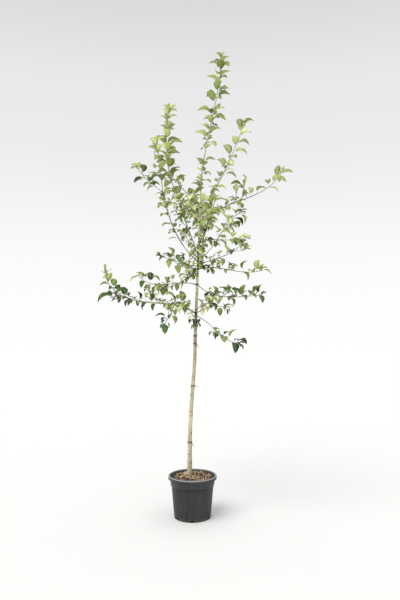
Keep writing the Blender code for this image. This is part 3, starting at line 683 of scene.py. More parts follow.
@dataclass
class Leaf:
    """A leaf's foot, the way it points, its side, its face's normal and its length."""

    foot: Vector
    along: Vector
    across: Vector
    normal: Vector
    length: float
    tint: Tint = Tint.FRESH

    HALF_WIDTH = 0.25
    WIDEST = 0.54
    ARCH = 0.14
    FOLD = 0.55
    THICKNESS = 0.032
    ROOT_SHARE = 0.25

    def point(self, share: float, side: float, lift: float = 0.0) -> Vector:
        """A point of the source's blade: share along it, side from -1 to 1 across it."""
        half = self.HALF_WIDTH * self.length * side
        rise = self.ARCH * self.length * 4 * share * (1 - share)
        rise += self.FOLD * abs(half) + lift
        ahead = self.along * (self.length * share)
        return self.foot + ahead + self.across * half + self.normal * rise

    def crosses(self, other: "Leaf") -> bool:
        """Whether two blades cut through each other beyond their roots."""
        near = (self.foot - other.foot).length < 2 * self.length
        return near and bool(self.blade().overlap(other.blade()))

    def blade(self) -> BVHTree:
        """The outer part of the source's leaf as a tree of faces."""
        upper = self.point(self.WIDEST, 0, self.THICKNESS * self.length / 2)
        root = self.point(0.0, 0).lerp(upper, self.ROOT_SHARE)
        corners = [root, self.point(1.0, 0), self.point(self.WIDEST, 1), self.point(self.WIDEST, -1)]
        return BVHTree.FromPolygons(corners, [(0, 2, 1), (0, 1, 3)])

    def sample(self) -> list[Vector]:
        """Points spread over the blade, for asking what it touches."""
        shares = (0.25, 0.4, self.WIDEST, 0.7, 0.85)
        widths = (0.4, 0.8, 1.0, 0.7, 0.3)
        edge = [self.point(s, w * side) for s, w in zip(shares, widths) for side in (-1, 1)]
        return edge + [self.point(s, 0) for s in (*shares, 1.0)]


def nearest(points: np.ndarray, starts: np.ndarray, ends: np.ndarray) -> np.ndarray:
    """Distance from each point to the nearest of the segments."""
    run = ends - starts
    reach = points[:, None] - starts
    share = np.clip((reach * run).sum(2) / np.maximum((run * run).sum(1), 1e-12), 0, 1)
    return np.sqrt(((reach - share[..., None] * run) ** 2).sum(2)).min(1)


@dataclass(frozen=True)
class Growth:
    """The seeded rule that twigs and leaves follow, with the source's values."""

    tip_radius: float = 0.0015
    twig_foot_share: float = 0.62
    twig_length: float = 0.085
    twig_openness: float = 50
    last_twig_share: float = 0.88
    twig_lift: float = 0.25
    leaf_length: float = 0.086
    leaf_spread: float = 0.008
    young_loss: float = 0.14
    openness: float = 66
    closing: float = 12
    openness_spread: float = 14
    droop_spread: tuple = (-0.10, 0.18)
    roll: float = 16
    spread_out: float = 1.15
    drawn_in: float = 0.60
    sink: float = 0.0004
    phyllotaxis: float = 137.5
    stem_tip_leaves: int = 3
    twig_tip_leaves: int = 2
    tip_sizes: tuple = (0.58, 0.76)
    tip_openness: tuple = (16, 40)
    twig_first_leaf: float = 0.25
    tip_stagger: float = 0.004
    turns: tuple = (0, 70, -70, 140, -140, 180)
    leaf_clear: float = 0.008
    spur_clear: float = 0.022

    def stem_of(self, limb: Limb) -> Stem:
        """The limb's whole centre line, from the trunk's own centre to its tip."""
        start = TRUNK.point(limb.height)
        return Stem(start, limb.heading, limb.pitch, limb.length, limb.radius, self.tip_radius)

    def twig_at(
        self, stem: Stem, share: float, heading: float, pitch: float, length: float
    ) -> Stem:
        """A side twig that curves upwards from a stem at a share of its length."""
        return Stem(
            stem.point(share), heading, (pitch, pitch + 8, pitch + 20), length,
            stem.radius(share) * self.twig_foot_share, self.tip_radius,
        )

    def sideways(self, stem: Stem, share: float, turn: float) -> Vector:
        """The way a side twig sets out from a stem, turned round it by turn degrees."""
        tangent = stem.tangent(share)
        side = Matrix.Rotation(math.radians(turn), 3, tangent) @ tangent.orthogonal().normalized()
        opened = math.radians(self.twig_openness)
        ahead = tangent * math.cos(opened) + side * math.sin(opened)
        return (ahead + Vector((0, 0, self.twig_lift))).normalized()

    def twig_choices(self, limb: Limb, stem: Stem) -> Iterator[list[Stem]]:
        """For each seeded side twig, the ones that could grow there."""
        rng = random.Random(limb.name + "_twigs")
        turn = rng.uniform(0, 360)
        for number in range(limb.twigs):
            along = (number + rng.uniform(0.3, 0.7)) / limb.twigs
            share = limb.bare + (self.last_twig_share - limb.bare) * along
            length = self.twig_length * rng.uniform(0.6, 1.0)
            choices = []
            for other in self.turns:
                ahead = self.sideways(stem, share, turn + other)
                heading = math.degrees(math.atan2(ahead.y, ahead.x))
                pitch = math.degrees(math.asin(ahead.z))
                choices.append(self.twig_at(stem, share, heading, pitch, length))
            yield choices
            turn += self.phyllotaxis

    def leaf_at(
        self, stem: Stem, share: float, turn: float, openness: float, droop: float,
        length: float, roll: float,
    ) -> Leaf:
        """A leaf that leaves a stem at a share of its length, turned round it by turn degrees."""
        tangent = stem.tangent(share)
        side = Matrix.Rotation(math.radians(turn), 3, tangent) @ tangent.orthogonal().normalized()
        angle = math.radians(openness)
        along = tangent * math.cos(angle) + side * math.sin(angle)
        along = (along + Vector((0, 0, -droop))).normalized()
        upward = Vector((0, 0, 1)) - along * along.z
        if upward.length < 0.2:
            upward = tangent - along * tangent.dot(along)
        normal = Matrix.Rotation(math.radians(roll), 3, along) @ upward.normalized()
        across = normal.cross(along).normalized()
        return Leaf(stem.point(share) - along * self.sink, along, across, normal, length)

    def leaf_choices(
        self, limb: Limb, stem: Stem, first: float, at_tip: int, rng: random.Random
    ) -> Iterator[tuple[float, list[Leaf]]]:
        """For each node of a stem, how young it is and the leaves that could grow there."""
        share = first
        turn = rng.uniform(0, 360)
        while share < 1.0:
            young = (share - first) / max(1 - first, 0.01)
            length = self.leaf_length * (1.0 - self.young_loss * young**3)
            length += rng.uniform(-self.leaf_spread, self.leaf_spread)
            openness = self.openness - self.closing * young**2
            openness += rng.uniform(-self.openness_spread, self.openness_spread)
            droop = limb.droop * (1 - 0.6 * young) + rng.uniform(*self.droop_spread)
            roll = rng.uniform(-self.roll, self.roll)
            yield young, [
                self.leaf_at(stem, share, turn + other, openness, droop, length, roll)
                for other in self.turns
            ]
            turn += self.phyllotaxis + rng.uniform(-14, 14)
            spacing = limb.spacing * (self.spread_out - self.drawn_in * young)
            share += spacing * rng.uniform(0.75, 1.25) / stem.length
        for number in range(at_tip):
            length = self.leaf_length * rng.uniform(*self.tip_sizes)
            turned = turn + 360 * number / at_tip + rng.uniform(-14, 14)
            back = 1.0 - self.tip_stagger * number / stem.length
            openness = rng.uniform(*self.tip_openness)
            yield 1.0, [self.leaf_at(stem, back, turned, openness, 0.0, length, 0.0)]


GROWTH = Growth()


class Spaces:
    """Every limb's lines, so that a leaf can be asked whether it keeps to its own space."""

    COARSE = 12
    MARGIN = 0.0025
    TRUNK_RADIUS = 0.0104
    CLEARANCE = 0.0040

    def __init__(self) -> None:
        """Works out each limb's centre line, its long shoots and its leafy and bare lines."""
        self.stems = {limb.name: GROWTH.stem_of(limb) for limb in LIMBS}
        self.shoots = {
            limb.name: [GROWTH.twig_at(self.stems[limb.name], *shoot) for shoot in limb.shoots]
            for limb in LIMBS
        }
        self.leafy: dict[str, Line] = {}
        self.bare = {"trunk": self.trunk_line()}
        for limb in LIMBS:
            stem = self.stems[limb.name]
            joint = self.joint(limb)
            lines = [self.line(stem, joint, 1.0)]
            lines += [self.line(shoot, 0.0, 1.0) for shoot in self.shoots[limb.name]]
            self.leafy[limb.name] = tuple(np.concatenate(side) for side in zip(*lines))
            if joint:
                self.bare[limb.name] = (*self.line(stem, 0.0, joint), stem.radius(0.05))

    def joint(self, limb: Limb) -> float:
        """Share of the limb's length where its bough ends and its leafy stem begins."""
        return self.stems[limb.name].middle_of_run(limb.bare) if limb.bare else 0.0

    def line(self, stem: Stem, first: float, last: float) -> Line:
        """Where the segments along part of a stem start, and where they end."""
        shares = [first + (last - first) * n / self.COARSE for n in range(self.COARSE + 1)]
        points = np.array([stem.point(share) for share in shares])
        return points[:-1], points[1:]

    def trunk_line(self) -> tuple[np.ndarray, np.ndarray, float]:
        """Where the trunk's segments start and end, and the radius that leaves keep clear of."""
        low = TRUNK.ground()
        run = TRUNK.fork_height - low
        points = np.array([TRUNK.point(low + run * n / self.COARSE) for n in range(self.COARSE + 1)])
        return points[:-1], points[1:], self.TRUNK_RADIUS

    def has_room(self, name: str, leaf: Leaf | Stem) -> bool:
        """Whether a leaf or twig is nearer to its own stem than to others, and touches no limb."""
        points = np.array(leaf.sample())
        own = nearest(points, *self.leafy[name])
        for other, lines in self.leafy.items():
            if other != name and (nearest(points, *lines) < own + self.MARGIN).any():
                return False
        return all(
            (nearest(points, starts, ends) > radius + self.CLEARANCE).all()
            for starts, ends, radius in self.bare.values()
        )

    def first_with_room(self, name: str, choices: Sequence) -> Any:
        """The first of the choices that keeps to its own space, or None."""
        return next((choice for choice in choices if self.has_room(name, choice)), None)


def sweep(
    points: Sequence[Vector], radii: Sequence[float], sides: int, relief: float = 0.0
) -> tuple[np.ndarray, list]:
    """A closed tube through points.

    Args:
        points: its centre line.
        radii: its radius at each of them.
        sides: how many sides it has.
        relief: how far the bark stands in and out, as a share of the radius.

    Returns:
        Its points and its faces.
    """
    rings = []
    side = (points[1] - points[0]).orthogonal().normalized()
    for n, centre in enumerate(points):
        ahead = (points[min(n + 1, len(points) - 1)] - points[max(n - 1, 0)]).normalized()
        side = (side - ahead * side.dot(ahead)).normalized()
        other = ahead.cross(side)
        for k in range(sides):
            angle = 2 * math.pi * k / sides
            out = side * math.cos(angle) + other * math.sin(angle)
            radius = radii[n]
            if relief:
                spot = centre + out * radius
                radius *= 1 + relief * noise.noise(spot * 90) + relief * noise.noise(spot * 260)
            rings.append(centre + out * radius)
    faces = []
    for n in range(len(points) - 1):
        for k in range(sides):
            after = (k + 1) % sides
            low, high = n * sides, (n + 1) * sides
            faces.append((low + k, low + after, high + after, high + k))
    faces.append(tuple(reversed(range(sides))))
    faces.append(tuple((len(points) - 1) * sides + k for k in range(sides)))
    return np.array(rings), faces


class Wood:
    """The trunk, its snags and the boughs, with the bark's relief."""

    TRUNK_SIDES = 36
    TRUNK_STEP = 0.003
    BOUGH_SIDES = 18
    BOUGH_STEP = 0.004
    BOUGH_DARKER = 0.30
    RELIEF = 0.045

    def __init__(self, spaces: Spaces) -> None:
        """Keeps the crown's lines."""
        self.spaces = spaces
        # The last colour and heights are painted light that makes the upper trunk paler.
        self.bark = BarkFinish(
            "bark", (0.63, 0.585, 0.395), (0.26, 0.22, 0.13), (0.060, 0.045, 0.028), 0.0080, 240.0,
            (0.80, 0.66, 0.46), (1.42, 1.75),
        ).material()

    def trunk(self) -> None:
        """The trunk from the compost to the fork, with knots and snags."""
        low = TRUNK.ground() - 0.004
        count = round((TRUNK.fork_height - low) / self.TRUNK_STEP)
        heights = [low + (TRUNK.fork_height - low) * n / count for n in range(count + 1)]
        points = [TRUNK.point(height) for height in heights]
        radii = [TRUNK.radius(height) for height in heights]
        buffer = Buffer()
        self.add_marked(buffer, *sweep(points, radii, self.TRUNK_SIDES, self.RELIEF))
        for knot, heading, pitch, length in TRUNK.snags:
            snag = Stem(TRUNK.point(knot), heading, pitch, length, *TRUNK.snag_radii)
            shares = [n / 12 for n in range(13)]
            line = [snag.smooth_point(share) for share in shares]
            radii = [snag.radius(share) for share in shares]
            self.add_marked(buffer, *sweep(line, radii, 12, 0.12), 0.6)
        settle(buffer.piece("trunk_bark", [self.bark]), "bark", "trunk")

    def add_marked(
        self, buffer: Buffer, points: np.ndarray, faces: list, darker: float = 0.0
    ) -> None:
        """Adds a tube with the trunk's knots, scars and painted shade at the boughs' feet on it, all a little
        darker.
        """
        marks = np.zeros((len(points), 3))
        marks[:, 0] = np.maximum(TRUNK.darkness(points), darker)
        buffer.add(points, faces, 0, marks)

    def boughs(self) -> None:
        """The bare foot of every limb."""
        buffer = Buffer()
        nodes = []
        for limb in LIMBS:
            joint = self.spaces.joint(limb)
            if joint:
                stem = self.spaces.stems[limb.name]
                count = max(6, round(joint * stem.length / self.BOUGH_STEP))
                shares = [joint * n / count for n in range(count + 1)]
                line = [stem.smooth_point(share) for share in shares]
                radii = [stem.radius(share) for share in shares]
                rings, faces = sweep(line, radii, self.BOUGH_SIDES, self.RELIEF)
                self.add_marked(buffer, rings, faces, self.BOUGH_DARKER)
                nodes.append("bough_" + limb.name)
        settle(buffer.piece("boughs_bark", [self.bark]), "bark", *nodes)


@dataclass(frozen=True)
class LeafShape:
    """A real leaf: a stalk, then a folded blade that arches and curls down at its tip."""

    fold: float
    arch: float
    curl: float
    stalk: float = 0.22
    half_width: float = 0.245
    thickness: float = 0.012
    shrink: float = 0.04
    rows: tuple = (0.09, 0.25, 0.44, 0.64, 0.84)

    def width(self, place: float) -> float:
        """Half width of the blade at a place along it, from 0 to 1."""
        return self.half_width * math.sin(math.pi * place**0.90) ** 0.60

    def local(self) -> tuple[np.ndarray, list, list, np.ndarray]:
        """The leaf in its own frame.

        Returns:
            Points as (along, across, up) in lengths, faces, each face's side (0 up, 1 down), and
            each point's place on the flat leaf.
        """
        blade = 1 - self.stalk
        points = [(self.stalk, 0.0, 0.0)]
        for place in self.rows:
            half = self.width(place)
            share = self.stalk + blade * place
            thick = self.thickness / 2
            points += [(share, -half, 0.0), (share, 0.0, thick), (share, half, 0.0), (share, 0.0, -thick)]
        points.append((1.0, 0.0, 0.0))
        faces, sides = [], []
        last = len(points) - 1
        for k, side in ((0, 0), (1, 0), (2, 1), (3, 1)):
            after = (k + 1) % 4
            faces.append((0, 1 + after, 1 + k))
            sides.append(side)
            for row in range(len(self.rows) - 1):
                low, high = 1 + 4 * row, 5 + 4 * row
                faces.append((low + k, low + after, high + after, high + k))
                sides.append(side)
            low = last - 4
            faces.append((low + k, low + after, last))
            sides.append(side)
        flat = np.array(points)
        return self.bent(flat), faces, sides, flat * (1, 1, 0)

    def bent(self, points: np.ndarray) -> np.ndarray:
        """Folds the blade up along its midrib, arches it and curls its tip down."""
        along, across, up = points.T
        rise = self.arch * 4 * along * (1 - along) + self.fold * np.abs(across)
        rise -= self.curl * np.clip((along - 0.45) / 0.55, 0, 1) ** 2
        return np.stack([along * (1 - self.shrink * along), across, up + rise], axis=1)


FOLDED = LeafShape(0.66, 0.22, 0.04)
HALF_OPEN = LeafShape(0.44, 0.18, 0.07)
OPEN = LeafShape(0.26, 0.12, 0.10, half_width=0.265)
YOUNG = LeafShape(0.90, 0.16, 0.02, half_width=0.16)


@dataclass(frozen=True)
class Stretch:
    """A stretch of the crown, and how thickly its leaves stand: below 1 the sky shows more."""

    left: float
    right: float
    low: float
    high: float
    cover: float

    def holds(self, x: float, z: float) -> bool:
        """Whether a place is in it."""
        return self.left < x < self.right and self.low < z < self.high


@dataclass(frozen=True)
class Vigour:
    """How one run's leaves differ at its foot, middle and tip.

    light and size are their own, lift turns them up by degrees, and cover is how thick they stand.
    """

    light: tuple = (0.0, 0.0, 0.0)
    size: tuple = (1.0, 1.0, 1.0)
    lift: tuple = (0.0, 0.0, 0.0)
    cover: tuple = (1.0, 1.0, 1.0)


class Foliage:
    """Every mass of leaves: its stems, twigs, short spurs and leaves."""

    OWN = {
        "leader": Vigour((0.08, -0.10, -0.10), (1.15, 1.04, 1.0), (0.0, 0.0, 2.0), (1.2, 1.45, 2.6)),
        "left_inner": Vigour((0.08, -0.10, 0.0), (0.85, 1.14, 0.80), (0.0, 12.0, 12.0), (1.0, 1.5, 0.7)),
        "left_tall": Vigour((-0.12, -0.08, 0.04), (1.1, 1.05, 1.2), (0.0, 5.0, 8.0), (0.75, 0.9, 1.7)),
        "left_tall.1": Vigour((-0.22, 0.02, -0.08), (1.1, 0.98, 0.92), (20.0, 8.0, 0.0), (2.0, 2.0, 2.0)),
        "left_long": Vigour((0.30, -0.02, 0.44), (0.85, 0.80, 0.88), (0.0, 4.0, 14.0)),
        "left_long.1": Vigour((-0.30, -0.30, -0.30), (0.9, 0.95, 1.0), (0.0, 0.0, 0.0), (1.8, 1.8, 1.8)),
        "left_long.3": Vigour((-0.60, -0.60, -0.60), (1.4, 1.45, 1.4), (34.0, 50.0, 50.0), (1.6, 1.6, 1.6)),
        "left_back": Vigour((0.10, -0.12, -0.02), (0.9, 0.95, 1.0)),
        "left_drooping": Vigour((-0.18, -0.38, -0.36), (0.75, 0.78, 0.85), (0.0, 0.0, 0.0), (0.7, 1.0, 1.0)),
        "left_spur": Vigour((-0.20, -0.20, -0.15), (0.85, 0.85, 0.85), (0.0, 0.0, 0.0), (0.7, 0.7, 0.7)),
        "left_upper": Vigour((0.05, 0.05, 0.05), (0.9, 0.9, 1.0)),
        "right_low": Vigour((-0.25, -0.42, -0.55), (0.7, 1.2, 1.45), (0.0, 30.0, 0.0), (2.2, 1.6, 1.0)),
        "right_front": Vigour((0.0, 0.22, -0.25), (0.9, 0.66, 1.0)),
        "right_long": Vigour((0.0, 0.02, -0.30), (0.85, 0.95, 1.15), (0.0, 12.0, 40.0)),
        "right_level": Vigour((-0.35, -0.12, -0.05), (1.0, 0.95, 1.1), (0.0, 14.0, 34.0), (1.6, 1.0, 1.0)),
        "right_steep": Vigour((0.0, 0.0, -0.30), (0.9, 1.0, 1.05), (0.0, 0.0, -34.0)),
        "right_wide": Vigour((0.05, 0.15, 0.12), (0.9, 0.9, 1.0), (0.0, 10.0, 10.0)),
        "right_wide.1": Vigour((-0.05, -0.05, 0.0), (1.25, 1.35, 1.3), (10.0, 10.0, 10.0), (1.8, 1.8, 1.8)),
        "right_tall": Vigour((0.0, 0.26, 0.04), (1.0, 1.08, 1.0), (0.0, 0.0, 6.0), (1.0, 1.7, 1.2)),
        "front_low": Vigour((0.25, 0.10, 0.0), (1.0, 1.15, 1.2), (0.0, 10.0, 20.0), (1.5, 1.7, 1.2)),
        "spur_middle": Vigour((0.10, 0.20, 0.40), (0.8, 1.1, 1.7)),
    }
    ROSETTES = (
        (1.452, -35, Tint.DEEP), (1.462, -5, Tint.LIME), (1.478, -60, Tint.MID),
        (1.516, -25, Tint.DEEP), (1.425, 205, Tint.DEEP), (1.398, 190, Tint.DEEP),
        (1.545, 200, Tint.MID), (1.585, -40, Tint.FRESH), (1.500, 235, Tint.FRESH),
        (1.166, 215, Tint.LIME),
    )
    ROSETTE_LEAF = (0.030, 0.050)
    COVER = (
        Stretch(-0.02, 0.28, 2.08, 2.22, 0.50), Stretch(0.13, 0.43, 1.93, 2.08, 0.45),
        Stretch(0.28, 0.43, 1.63, 1.93, 0.50), Stretch(0.13, 0.28, 1.33, 1.63, 0.62),
        Stretch(-0.46, -0.31, 1.33, 1.48, 0.62), Stretch(-0.17, -0.02, 1.33, 1.48, 0.58),
        Stretch(-0.17, -0.02, 1.93, 2.08, 0.62), Stretch(-0.02, 0.28, 1.18, 1.33, 0.75),
        Stretch(-0.61, -0.46, 1.33, 1.48, 0.70), Stretch(-0.31, -0.16, 2.08, 2.22, 0.80),
        Stretch(-0.02, 0.13, 1.33, 1.63, 1.60), Stretch(-0.17, -0.02, 1.48, 1.63, 0.78),
        Stretch(-0.16, 0.13, 1.78, 1.93, 1.55),
    )
    LOW, HIGH = 1.20, 2.00
    LEAST_SIZE = 0.57
    SIZE_PER_RADIUS = 132
    INNER_SIZE = 0.68
    FULL_SIZE_FROM = 0.55
    EXTRA = (0.32, -0.22)
    EXTRA_SIZE = (0.62, 0.92)
    SPUR_GAP = 0.036
    SPURS_UNTIL = 0.60
    TIP_GAP = 0.009
    YOUNG_FROM = 0.99
    BUD_SIZE = 0.72
    TIP_EXTRA = 4
    TIP_SIZE = (0.38, 0.58)
    TIP_OPENNESS = (12, 58)
    SPUR_LENGTH = (0.008, 0.026)
    SPUR_LEAVES = (2, 3)
    SPUR_LEAF = (0.028, 0.048)
    SPRAY = 4
    STALK_RADIUS = 0.0007

    def __init__(self, spaces: Spaces) -> None:
        """Keeps the crown's lines and starts a buffer for each kind of piece."""
        self.spaces = spaces
        self.shapes = [shape.local() for shape in (FOLDED, HALF_OPEN, OPEN)]
        self.young = YOUNG.local()
        self.leaves = {tint: Buffer() for tint in Tint}
        self.wood = Buffer()
        self.rng = random.Random("shapes")
        self.count = 0

    def cover_at(self, place: Vector) -> float:
        """How thickly leaves stand at a place."""
        return next((part.cover for part in self.COVER if part.holds(place.x, place.z)), 1.0)

    def light_at(self, height: float) -> float:
        """0 at the lowest leaves and 1 towards the top."""
        return min(1.0, max(0.0, (height - self.LOW) / (self.HIGH - self.LOW)))

    def life_size(self, limb: Limb, own: Vigour, young: float) -> float:
        """A real leaf's size beside the source's: larger on stout limbs and on their outer part."""
        vigour = self.LEAST_SIZE + self.SIZE_PER_RADIUS * limb.radius
        vigour *= slope_at(own.size, young)
        if young > self.YOUNG_FROM:
            vigour *= self.BUD_SIZE
        out = min(1.0, young / self.FULL_SIZE_FROM)
        return vigour * (self.INNER_SIZE + (1 - self.INNER_SIZE) * out)

    def tint_of(self, own: Vigour, leaf: Leaf, young: float, rng: random.Random) -> Tint:
        """The tint of a spray: deep on the low limbs' outer part, lime at tips and by the trunk."""
        rise = self.light_at(leaf.foot.z)
        light = 0.10 + 0.50 * rise + 0.46 * (1 - young) ** 2 * (1 - rise) + 0.26 * young**4
        light += slope_at(own.light, young) + rng.uniform(-0.38, 0.38) * (1 - 0.3 * rise)
        tints = (Tint.DEEP, Tint.MID, Tint.FRESH, Tint.LIME)
        return tints[min(3, max(0, int(light * 4)))]

    def lifted(self, leaf: Leaf, own: Vigour, young: float) -> Leaf:
        """The leaf turned up by its run's lift."""
        turn = math.radians(slope_at(own.lift, young))
        along = leaf.along * math.cos(turn) + leaf.normal * math.sin(turn)
        return Leaf(leaf.foot, along, leaf.across, leaf.across.cross(-along), leaf.length)

    def add_leaf(self, leaf: Leaf, size: float, tint: Tint, young: float = 0.5) -> None:
        """Adds a real leaf in place of one of the rule's; young leaves are folded more."""
        length = leaf.length * size
        frame_of = np.array([leaf.along, leaf.across, leaf.normal])
        folded = 0.35 + 0.5 * young + 0.3 * self.light_at(leaf.foot.z)
        weights = (folded, 0.6, max(1.1 - folded, 0.05))
        points, faces, sides, places = self.rng.choices(self.shapes, weights)[0]
        if young > self.YOUNG_FROM:
            points, faces, sides, places = self.young
        placed = np.array(leaf.foot) + (points * length) @ frame_of
        buffer = self.leaves[tint]
        buffer.add(placed, faces, sides, places + (0, 0, self.rng.random()))
        base = Vector(placed[0])
        middle = leaf.foot.lerp(base, 0.5) - leaf.normal * (0.01 * length)
        radius = self.STALK_RADIUS
        stalk = sweep([leaf.foot, middle, base], [radius * 1.3, radius, radius * 0.8], 3)
        buffer.add(*stalk, 1)
        self.count += 1

    def add_stem(self, stem: Stem, first: float, sides: int, step: float) -> None:
        """Adds a stem's or a twig's wood, ended by a small bud."""
        count = max(3, round((1 - first) * stem.length / step))
        shares = [first + (1 - first) * n / count for n in range(count + 1)]
        line = [stem.smooth_point(share) for share in shares]
        radii = [stem.radius(share) * (1 + 0.10 * math.sin(share * stem.length * 260)) for share in shares]
        tip = line[-1] + stem.tangent(1.0) * 0.003
        self.wood.add(*sweep(line + [tip], radii + [radii[-1] * 0.25], sides, 0.05))

    def add_spur(
        self, name: str, own: Vigour, stem: Stem, share: float, young: float, rng: random.Random
    ) -> None:
        """Adds a short spur with a rosette of small leaves, each only where it has room."""
        ahead = GROWTH.sideways(stem, share, rng.uniform(0, 360))
        heading = math.degrees(math.atan2(ahead.y, ahead.x))
        pitch = math.degrees(math.asin(ahead.z))
        length = rng.uniform(*self.SPUR_LENGTH)
        spur = Stem(stem.point(share), heading, (pitch, pitch, pitch), length, 0.0011, 0.0009)
        rosette = []
        turn = rng.uniform(0, 360)
        tint_rng = random.Random(rng.random())
        for _ in range(rng.randint(*self.SPUR_LEAVES)):
            size = rng.uniform(*self.SPUR_LEAF)
            leaf = GROWTH.leaf_at(spur, 1.0, turn, rng.uniform(40, 75), 0.1, size, rng.uniform(-30, 30))
            turn += GROWTH.phyllotaxis
            if self.spaces.has_room(name, leaf):
                rosette.append(leaf)
        if rosette and self.spaces.has_room(name, spur):
            self.add_stem(spur, 0.0, 5, 0.006)
            tint = self.tint_of(own, rosette[0], young, tint_rng)
            for leaf in rosette:
                self.add_leaf(leaf, 1.0, tint)

    def add_tip(self, name: str, own: Vigour, stem: Stem, rng: random.Random) -> None:
        """Adds the young leaves that stand close together below a shoot's tip."""
        turn = rng.uniform(0, 360)
        for number in range(self.TIP_EXTRA):
            share = 1.0 - self.TIP_GAP * number / stem.length
            size = GROWTH.leaf_length * rng.uniform(*self.TIP_SIZE)
            openness = rng.uniform(*self.TIP_OPENNESS)
            leaf = GROWTH.leaf_at(stem, share, turn, openness, 0.0, size, rng.uniform(-20, 20))
            turn += GROWTH.phyllotaxis
            if self.spaces.has_room(name, leaf):
                tint = self.tint_of(own, leaf, 1.0, rng)
                self.add_leaf(self.lifted(leaf, own, 1.0), 1.0, tint, 1.0)

    def add_rosettes(self) -> None:
        """Adds the rosettes of small leaves that stand on the trunk itself."""
        for height, heading, tint in self.ROSETTES:
            rng = random.Random(height)
            spur = Stem(TRUNK.point(height), heading, (20, 30, 40), 0.036, 0.0017, 0.0012)
            self.add_stem(spur, 0.0, 6, 0.006)
            turn = rng.uniform(0, 360)
            for number in range(5):
                size = rng.uniform(*self.ROSETTE_LEAF)
                share, openness = 1.0 - 0.1 * number, rng.uniform(45, 80)
                leaf = GROWTH.leaf_at(spur, share, turn, openness, 0.25, size, rng.uniform(-30, 30))
                self.add_leaf(leaf, 1.0, tint)
                turn += GROWTH.phyllotaxis

    def grow(self, limb: Limb) -> None:
        """Grows one mass by the source's rule, and then its finer spurs."""
        stem = self.spaces.stems[limb.name]
        found = [
            self.spaces.first_with_room(limb.name, choices)
            for choices in GROWTH.twig_choices(limb, stem)
        ]
        twigs = self.spaces.shoots[limb.name] + [twig for twig in found if twig]
        joint = self.spaces.joint(limb)
        first = joint + (GROWTH.leaf_clear if limb.bare else GROWTH.spur_clear) / stem.length
        rng, finer = random.Random(limb.name), random.Random(limb.name + "_finer")
        runs = [(stem, first, GROWTH.stem_tip_leaves)]
        runs += [(twig, GROWTH.twig_first_leaf, GROWTH.twig_tip_leaves) for twig in twigs]
        leaves: list[Leaf] = []
        for number, (run, start, at_tip) in enumerate(runs):
            own = self.OWN.get(f"{limb.name}.{number}", self.OWN.get(limb.name, Vigour()))
            tint = None
            for young, choices in GROWTH.leaf_choices(limb, run, start, at_tip, rng):
                free = [c for c in choices if not any(c.crosses(other) for other in leaves)]
                leaf = self.spaces.first_with_room(limb.name, free)
                cover = self.cover_at(run.point(start + (1 - start) * young))
                cover *= slope_at(own.cover, young)
                if leaf:
                    if tint is None or len(leaves) % self.SPRAY == 0 or young > 0.85:
                        tint = self.tint_of(own, leaf, young, finer)
                    if finer.random() < cover:
                        placed = self.lifted(leaf, own, young)
                        self.add_leaf(placed, self.life_size(limb, own, young), tint, young)
                    leaves.append(leaf)
                often, younger = self.EXTRA
                if finer.random() < (often + younger * young) * cover**2:
                    others = [choice for choice in free if choice is not leaf]
                    extra = self.spaces.first_with_room(limb.name, others)
                    if extra:
                        size = self.life_size(limb, own, young) * finer.uniform(*self.EXTRA_SIZE)
                        shade = self.tint_of(own, extra, young, finer)
                        self.add_leaf(self.lifted(extra, own, young), size, shade, young)
            share = start
            while share < self.SPURS_UNTIL:
                young = (share - start) / (1 - start)
                cover = self.cover_at(run.point(share)) * slope_at(own.cover, young)
                if finer.random() < cover**2:
                    self.add_spur(limb.name, own, run, share, young, finer)
                gap = self.SPUR_GAP / max(1.0, cover)
                share += gap * finer.uniform(0.7, 1.3) / run.length
            self.add_tip(limb.name, own, run, finer)
        self.add_stem(stem, joint, 8, 0.008)
        for twig in twigs:
            self.add_stem(twig, 0.0, 6, 0.008)

    def build(self) -> None:
        """Grows every mass and makes the pieces."""
        for limb in LIMBS:
            self.grow(limb)
        self.add_rosettes()
        log.info("%d leaves", self.count)
        upper = {
            Tint.LIME: (0.52, 0.59, 0.215), Tint.FRESH: (0.40, 0.49, 0.130),
            Tint.MID: (0.19, 0.285, 0.045), Tint.DEEP: (0.036, 0.105, 0.010),
        }
        lower = {
            Tint.LIME: (0.68, 0.74, 0.32), Tint.FRESH: (0.53, 0.61, 0.20),
            Tint.MID: (0.29, 0.38, 0.09), Tint.DEEP: (0.085, 0.160, 0.028),
        }
        nodes = ["foliage_" + limb.name for limb in LIMBS]
        for tint, buffer in self.leaves.items():
            if buffer.count:
                faces = [
                    LeafFinish(f"leaf_{tint.value}_upper", upper[tint], 0.36, 0.5).material(),
                    LeafFinish(f"leaf_{tint.value}_under", lower[tint], 0.65, 0.8).material(),
                ]
                piece = buffer.piece(f"leaves_{tint.value}", faces)
                settle(piece, "foliage", *nodes)
        # The last colour and heights are painted light that makes the upper shoots paler.
        shoots = BarkFinish(
            "shoot_bark", (0.25, 0.19, 0.14), (0.12, 0.080, 0.060), (0.05, 0.035, 0.03), 0.004, 500.0,
            (0.66, 0.51, 0.42), (1.85, 2.10),
        ).material()
        settle(self.wood.piece("leafy_stems", [shoots]), "bark")


